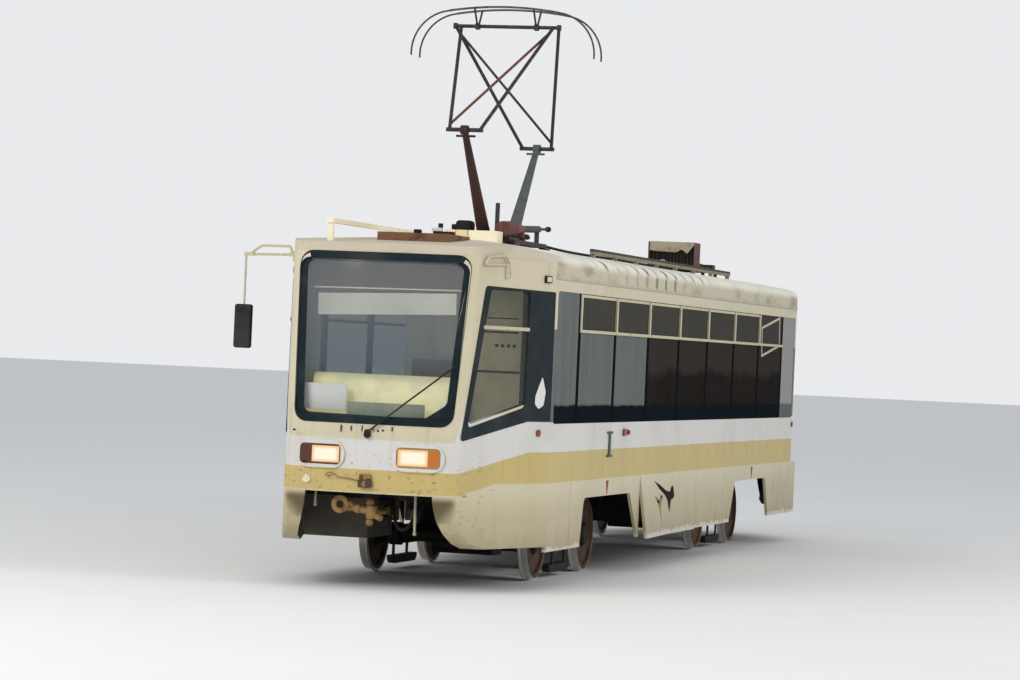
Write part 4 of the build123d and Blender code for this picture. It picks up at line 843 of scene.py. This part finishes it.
def visor():
    shapes = Shapes()
    top, low = [], []
    for step in range(VISOR_STEPS + 1):
        share = step / VISOR_STEPS
        top.append((-0.60 + 1.27 * share, 2.612 + 0.04 * share))
        low.append((-0.59 + 1.27 * share, 2.42 + 0.045 * share))
    outline = along_glass(top) + along_glass(list(reversed(low)))
    shapes.slab(outline, (0, 0.004, 0))
    shapes.piece("visor", "visor")


def dashboard_cover():
    """Pale yellow cover over the console, high in front and sloping down towards the seat."""
    half = 0.63
    side = [(-7.235, 1.50), (-7.215, 1.86), (-7.165, 1.905), (-7.03, 1.91), (-6.78, 1.70), (-6.80, 1.645),
            (-7.10, 1.645), (-7.12, 1.50)]
    shapes = Shapes()
    shapes.slab([(-half, y, z) for y, z in side], (2 * half, 0, 0))
    shapes.piece("dashboard_cover", "console", smooth=30)


def blank_boards():
    """A white plaque on the left and a longer grey-green board beside it, both bare."""
    white, grey = Shapes(), Shapes()
    white.box((-0.685, -7.322, 1.580), (-0.285, -7.312, 1.812), 0.003)
    white.piece("blank_plaque", "board", replaces=("sign_boards",))
    grey.box((-0.275, -7.330, 1.520), (0.445, -7.320, 1.660), 0.003)
    for step in range(BOARD_RIBS):
        x = -0.25 + step * BOARD_RIB_PITCH
        grey.box((x, -7.333, 1.548), (x + 0.004, -7.329, 1.652))
    grey.piece("destination_board", "green_board")


visor()
dashboard_cover()
blank_boards()
rod_line = [(-0.64, 2.665), (-0.3, 2.668), (0.1, 2.672), (0.45, 2.676), (0.72, 2.68)]
cable("visor_rod", along_glass(rod_line, 0.028), 0.007, "visor")
edge_line = [(0.755, 2.68), (0.733, 2.51), (0.708, 2.36), (0.694, 2.07), (0.690, 1.80), (0.658, 1.67),
             (0.610, 1.62)]
cable("glass_edge_line", along_glass(edge_line, 0.004), 0.0042, "board")


def cab_furniture():
    """A cabinet on the partition's left part, with seams and four round holes; the holes are dark discs of
    painted shade.
    """
    pale, dark = Shapes(), Shapes()
    pale.box((0.15, -6.06, 0.95), (0.98, -6.03, 2.90), 0.004)
    # Four dark discs where the holes are: painted shade
    for x in (0.735, 0.790, 0.846, 0.900):
        dark.rod((x, -6.066, 2.215), (x, -6.058, 2.215), 0.017)
    for left, right, low, high in ((0.60, 0.93, 2.33, 2.345), (0.60, 0.93, 2.46, 2.47),
                                   (0.55, 0.96, 1.965, 1.985), (0.40, 0.43, 1.15, 2.80)):
        dark.box((left, -6.065, low), (right, -6.060, high))
    dark.box((0.975, -6.10, 0.95), (1.015, -6.03, 2.90), 0.004)
    pale.piece("cabinet", "panel")
    dark.piece("cabinet_fittings", "black")


cab_furniture()

# Cab sides: the black border bonded round the glass, a cream bar across it, a white paper and a square lamp

CAB_ALONG = Vector((HALF_WIDTH - NOSE_CORNER.x, -FRONT_KNEE - NOSE_CORNER.y, 0)).normalized()
CAB_OUT = Vector((CAB_ALONG.y, -CAB_ALONG.x, 0))
CAB_SEAM = 1.494


def on_cab(along, height, out=0.0, side=1):
    """Point on the cab's side: so far behind the nose's corner, so high, and so far out of the wall."""
    spot = NOSE_CORNER + CAB_ALONG * along + CAB_OUT * out
    return Vector((side * spot.x, spot.y, height))


def cab_out(side, length):
    return Vector((side * CAB_OUT.x, CAB_OUT.y, 0)) * length


def quarter_border(side):
    outer = rounded([(0.012, 1.352), (1.103, 1.540), (CAB_SEAM, 1.540), (CAB_SEAM, 2.722), (0.318, 2.738)],
                    [0.03, 0.06, 0.01, 0.01, 0.05])
    inner = rounded([(0.112, 1.474), (1.040, 1.668), (1.050, 2.20), (1.058, 2.708), (0.408, 2.706)],
                    [0.03, 0.06, 0.05, 0.04, 0.04])
    shapes = Shapes()
    loops = [[on_cab(spot.x, spot.y, 0.0012, side) for spot in loop] for loop in (outer, inner)]
    shapes.frame(loops[0], loops[1], cab_out(side, 0.003))
    name = "left" if side > 0 else "right"
    shapes.piece(f"quarter_border_{name}", "gloss", slot="glass")
    bar = Shapes()
    bar.slab([on_cab(along, height, 0.0045, side) for along, height in
              ((0.30, 2.354), (1.052, 2.354), (1.052, 2.386), (0.298, 2.386))], cab_out(side, 0.012))
    bar.piece(f"quarter_bar_{name}", "trim")


for side in (-1, 1):
    quarter_border(side)


def cab_fittings():
    paper = Shapes()
    outline = rounded([(1.325, 1.952), (1.388, 1.813), (1.360, 1.690), (1.278, 1.655), (1.212, 1.701),
                       (1.216, 1.774)], [0.01, 0.02, 0.03, 0.03, 0.02, 0.03], 4)
    paper.slab([on_cab(spot.x, spot.y, 0.0044) for spot in outline], cab_out(1, 0.001))
    paper.piece("paper_patch", "board")
    lamp, lens = Shapes(), Shapes()
    for side in (-1, 1):
        corners = [(1.29, 2.802), (1.395, 2.802), (1.395, 2.866), (1.29, 2.866)]
        lamp.slab([on_cab(along, height, 0.0, side) for along, height in corners], cab_out(side, 0.020))
        inner = [(1.305, 2.812), (1.380, 2.812), (1.380, 2.856), (1.305, 2.856)]
        lens.slab([on_cab(along, height, 0.020, side) for along, height in inner], cab_out(side, 0.004))
    lamp.piece("square_lamp", "black")
    lens.piece("square_lamp_lens", "lamp_clear")


cab_fittings()

# Small things on the front


def front_details():
    dark = Shapes()
    # Drip slots below the windscreen, drawn as dark strips of painted shade, and the washer jets
    for x, low, high in ((-0.265, 1.392, 1.452), (-0.171, 1.405, 1.448), (-0.070, 1.404, 1.456),
                         (0.031, 1.412, 1.452), (0.205, 1.418, 1.455)):
        dark.box((x - 0.004, -7.5035, low), (x + 0.004, -7.48, high))
    for x, z in ((0.078, 1.414), (0.122, 1.420), (-0.600, 1.115), (-0.70, 1.39)):
        dark.rod((x, -7.504, z), (x, -7.47, z), 0.009)
    dark.rod((-0.015, -7.530, 1.378), (-0.015, -7.49, 1.378), 0.030)
    dark.piece("front_marks", "black")
    loop = [(-0.05, -7.520, 0.962), (-0.16, -7.512, 0.986), (-0.282, -7.510, 0.991),
            (-0.302, -7.512, 1.022), (-0.345, -7.512, 1.032), (-0.384, -7.510, 1.018),
            (-0.386, -7.510, 0.994), (-0.330, -7.514, 1.004)]
    cable("wire_loop", loop, 0.005, "coupler")
    socket = Shapes()
    socket.rod((-0.015, -7.5392, 0.946), (-0.015, -7.50, 0.946), 0.042)
    socket.rod((-0.015, -7.5400, 0.946), (-0.015, -7.53, 0.946), 0.026)
    socket.box((-0.07, -7.532, 0.985), (0.035, -7.50, 1.03), 0.006)
    socket.piece("front_socket", "coupler")


front_details()


def coupler_details(end, name):
    """Levers, bolts and a hose beside a coupler; end is -1 in front and 1 at the rear."""
    body = f"coupler_{name}"
    iron, pale = Shapes(), Shapes()

    def at(x, y, z):
        """A point that is turned half round with its end."""
        return (-end * x, end * y, z)

    for x, z, radius in ((-0.015, 0.776, 0.036), (-0.015, 0.600, 0.036), (-0.13, 0.715, 0.042),
                         (-0.20, 0.735, 0.046)):
        iron.ball(at(x, 7.33, z), radius)
    iron.rod(at(-0.015, 7.33, 0.59), at(-0.015, 7.33, 0.80), 0.022)
    iron.rod(at(0.03, 7.33, 0.66), at(0.10, 7.36, 0.64), 0.026)
    iron.piece(f"{body}_bolts", "coupler", body)
    # The levers stand clear of the coupler's swing
    pale.rod(at(0.36, 7.20, 0.86), at(0.372, 7.22, 0.52), 0.012)
    pale.ball(at(0.372, 7.22, 0.515), 0.018)
    pale.rod(at(-0.555, 7.24, 0.90), at(-0.550, 7.26, 0.735), 0.011)
    pale.ball(at(-0.550, 7.26, 0.73), 0.016)
    pale.piece(f"{name}_levers", "levers")
    cable(f"{name}_hose", [(0.10, end * 7.05, 0.80), (0.16, end * 7.16, 0.62), (0.24, end * 7.20, 0.52),
                           (0.33, end * 7.16, 0.60), (0.40, end * 7.05, 0.80)], 0.017, "rubber")


coupler_details(-1, "front")
coupler_details(1, "rear")

# Side walls: red marks over the bogies, a grey fitting, a small lamp and papers behind the panes

PANE_BACK = 1.2375
PAPER_DEPTH = 0.001
STRIP_BACK = 1.2514
STRIP_HALF = 0.028


def side_details():
    mark, grey, lamp = Shapes(), Shapes(), Shapes()
    for middle in (-3.62, 3.68):
        outline = ((-0.055, 0.955), (0.055, 0.955), (0.012, 0.825), (-0.012, 0.825))
        mark.slab([(HALF_WIDTH, middle + along, z) for along, z in outline], (0.0015, 0, 0))
    mark.piece("red_marks", "red_mark")
    grey.box((HALF_WIDTH, -3.655, 1.19), (1.262, -3.575, 1.43), 0.003)
    for z in (1.185, 1.412):
        grey.box((HALF_WIDTH, -3.715, z), (1.266, -3.515, z + 0.022), 0.003)
    grey.piece("side_fitting", "collector_grey")
    lamp.box((HALF_WIDTH, -3.06, 1.385), (1.275, -2.93, 1.455), 0.008)
    lamp.rod((HALF_WIDTH, -2.90, 1.42), (1.29, -2.90, 1.42), 0.024)
    lamp.piece("side_lamp", "lamp_red")
    paper = Shapes()
    oval = rounded([(-5.60, 2.345), (-5.08, 2.352), (-5.13, 2.655), (-5.55, 2.66), (-5.66, 2.50)],
                   [0.02, 0.02, 0.10, 0.16, 0.12], 5)
    note = ((-3.59, 2.217), (-3.36, 2.221), (-3.365, 2.28), (-3.60, 2.276))
    corner = ((4.02, 2.395), (5.16, 2.40), (4.05, 2.66))
    for outline in (oval, note, corner):
        paper.slab([(PANE_BACK, y, z) for y, z in outline], (-PAPER_DEPTH, 0, 0))
    paper.piece("pane_papers", "board")


side_details()


def vent_strips():
    """Cream strips that cover the joints of the top vents, and the rail below them."""
    strips = Shapes()
    for number in range(7):
        y = FIRST_MULLION + number * WINDOW_PITCH
        strips.box((STRIP_BACK, y - STRIP_HALF, VENT_BOTTOM - 0.010), (1.2640, y + STRIP_HALF, VENT_TOP),
                   0.003)
    strips.box((STRIP_BACK, FIRST_MULLION, VENT_BOTTOM - 0.012), (1.2590, LAST_MULLION, 2.402), 0.003)
    strips.piece("vent_strips", "trim")


vent_strips()


def torn_skirt():
    """The tear in the bent skirt panel: a thin near-black sheet laid on the panel, painted shade where the
    sheet gapes.
    """
    skirts = tree_of("skirts")
    crack = [(-1.55, 0.905), (-1.28, 0.860), (-0.98, 0.795), (-0.78, 0.775), (-0.70, 0.830), (-0.62, 0.835),
             (-0.55, 0.730), (-0.62, 0.700), (-0.72, 0.690), (-0.80, 0.560), (-0.90, 0.690), (-1.02, 0.745),
             (-1.30, 0.815)]
    hits = [skirts.ray_cast(Vector((1.6, y, z)), Vector((-1, 0, 0)))[0] for y, z in crack]
    tear = Shapes()
    tear.slab([hit + Vector((0.0010, 0, 0)) for hit in hits if hit is not None], (0.0008, 0, 0))
    tear.piece("skirt_tear", "gap_shade")


torn_skirt()

# Roof: insulators, springs and cable of the collector, things on the hatch, fins of the resistors

SPRING_TURNS = 26
SPRING_STEPS = 8
SPRING_RADIUS = 0.024
SPRING_LENGTH = 0.88
INSULATOR_PITCH = 0.045
FIN_PITCH = 0.0415
FIN_ROW_PITCH = 0.058


def roof_details():
    insulator = Shapes()
    for x in (-0.32, 0.32):
        for y in (-4.09, -2.89):
            profile = []
            for step in range(4):
                along = 0.012 + step * INSULATOR_PITCH
                profile += [(along, 0.042), (along + 0.014, 0.062), (along + 0.024, 0.062),
                            (along + 0.034, 0.042)]
            insulator.turned((x, y, 3.035), (0, 0, 1), profile)
    insulator.piece("insulators", "porcelain")
    for number, x in enumerate((-0.20, 0.19)):
        points = []
        for step in range(SPRING_TURNS * SPRING_STEPS + 1):
            angle = 2 * math.pi * step / SPRING_STEPS
            along = SPRING_LENGTH * step / (SPRING_TURNS * SPRING_STEPS)
            points.append((x + SPRING_RADIUS * math.cos(angle), -3.93 + along,
                           3.315 + SPRING_RADIUS * math.sin(angle)))
        cable(f"raising_spring_{number + 1}", points, 0.0045, "roof_steel", smooth=False)
    cable("roof_cable", [(0.24, -2.90, 3.25), (0.30, -2.70, 3.235), (0.34, -2.2, 3.215), (0.30, -1.2, 3.215),
                         (0.34, 0.2, 3.215), (0.30, 1.8, 3.215), (0.33, 3.4, 3.215), (0.25, 4.40, 3.26)],
          0.014, "rubber")
    lump = Shapes()
    # Coil box beside the front arm, and clips on the hatch
    lump.box((-0.285, -4.06, 3.25), (-0.115, -3.90, 3.425), 0.035)
    lump.box((-0.33, -4.02, 3.33), (-0.27, -3.96, 3.385), 0.01)
    lump.box((-0.145, -5.93, 3.205), (-0.080, -5.87, 3.255), 0.006)
    lump.box((0.040, -5.93, 3.205), (0.235, -5.85, 3.243), 0.006)
    lump.box((0.085, -5.92, 3.276), (0.125, -5.88, 3.318), 0.006)
    lump.rod((0.105, -5.90, 3.24), (0.105, -5.90, 3.28), 0.010)
    lump.piece("roof_clips", "rubber")
    tag = Shapes()
    tag.box((0.028, -5.935, 3.243), (0.122, -5.870, 3.276), 0.005)
    tag.piece("hatch_tag", "board")


roof_details()


def resistor_fins():
    """Dark resistor strips below the torn flap, two pale wire arcs and scraps of white cloth."""
    fins, white = Shapes(), Shapes()
    for row in range(4):
        y = 4.505 + row * FIN_ROW_PITCH
        for column in range(13):
            x = -0.25 + column * FIN_PITCH
            fins.box((x, y - 0.016, 3.33), (x + 0.004, y + 0.016, 3.54))
    fins.piece("resistor_strips", "rubber")
    turns = [math.radians(20 * step) for step in range(10)]
    for name, x, radius in (("left", -0.17, 0.045), ("right", -0.10, 0.055)):
        arc = [(x + radius * math.cos(turn), 4.452, 3.30 + radius * math.sin(turn)) for turn in turns]
        cable(f"wire_arc_{name}", arc, 0.006, "levers")
    for x, y, z, length in ((-0.20, 4.43, 3.30, 0.16), (0.02, 4.42, 3.295, 0.12)):
        white.box((x, y, z), (x + length, y + 0.03, z + 0.018), 0.006)
    white.piece("cloth_scraps", "board")


resistor_fins()

# Camera, light and floor


def look_back(azimuth, elevation):
    """Direction from the object to a viewer."""
    turn, rise = math.radians(azimuth), math.radians(elevation)
    return Vector((math.sin(turn) * math.cos(rise), -math.cos(turn) * math.cos(rise), math.sin(rise)))


CAMERA_AZIMUTH = 14.917
CAMERA_ELEVATION = -0.226
CAMERA_ROLL = 2.584
CAMERA_PLACE = Vector((9.388, -38.085, 2.140))
CAMERA_LENS = 128.246
SENSOR = 36.0
LIGHT_SIZE = 12
LIGHT_POWER = 2180
FLOOR_HALF = 240


def make_camera():
    """The camera stands where the photograph was taken from."""
    data = bpy.data.cameras.new("camera")
    data.lens = CAMERA_LENS
    data.sensor_width = SENSOR
    data.sensor_fit = "HORIZONTAL"
    data.clip_end = 500
    camera = add_object("camera", data)
    back = look_back(CAMERA_AZIMUTH, CAMERA_ELEVATION)
    right = Vector((0, 0, 1)).cross(back).normalized()
    up = back.cross(right)
    roll = math.radians(CAMERA_ROLL)
    right, up = right * math.cos(roll) + up * math.sin(roll), up * math.cos(roll) - right * math.sin(roll)
    camera.matrix_world = Matrix.Translation(CAMERA_PLACE) @ Matrix((right, up, back)).transposed().to_4x4()
    bpy.context.scene.camera = camera


def area_light(name, place, target, tint):
    data = bpy.data.lights.new(name, "AREA")
    data.shape = "DISK"
    data.size = LIGHT_SIZE
    data.energy = LIGHT_POWER
    data.color = tint
    light = add_object(name, data)
    light.location = place
    light.rotation_euler = (Vector(target) - Vector(place)).to_track_quat("-Z", "Y").to_euler()


def make_world():
    """A pale sky that lights the object evenly and shows almost white behind it."""
    world = bpy.data.worlds.new("studio")
    bpy.context.scene.world = world
    world.use_nodes = True
    tree = world.node_tree
    tree.nodes.clear()
    output = tree.nodes.new("ShaderNodeOutputWorld")
    join = tree.nodes.new("ShaderNodeMixShader")
    path = tree.nodes.new("ShaderNodeLightPath")
    tree.links.new(path.outputs["Is Camera Ray"], join.inputs[0])
    # First the sky that lights, then the one that shows
    for socket, tint, strength in ((join.inputs[1], (0.93, 0.96, 1.0, 1), 0.62),
                                   (join.inputs[2], (0.86, 0.87, 0.89, 1), 0.95)):
        sky = tree.nodes.new("ShaderNodeBackground")
        sky.inputs["Color"].default_value = tint
        sky.inputs["Strength"].default_value = strength
        tree.links.new(sky.outputs[0], socket)
    tree.links.new(join.outputs[0], output.inputs[0])


def make_floor():
    data = bpy.data.meshes.new("floor_plane")
    corners = [(x * FLOOR_HALF, y * FLOOR_HALF, 0) for x, y in ((-1, -1), (1, -1), (1, 1), (-1, 1))]
    data.from_pydata(corners, [], [(0, 1, 2, 3)])
    paint = Paint("studio_floor", roughness=0.8, specular=0.2)
    paint.base = paint.mix(paint.noise(0.4, 3), (241, 241, 240), (246, 246, 245))
    data.materials.append(paint.finish())
    add_object("floor_plane", data)


make_camera()
make_world()
make_floor()
area_light("key", (-9, -24, 13), (0, -3, 1.5), (1.0, 0.98, 0.95))
area_light("side", (26, -8, 12), (0, 0, 1.5), (0.99, 0.98, 0.97))
bpy.context.scene.view_settings.view_transform = "Standard"
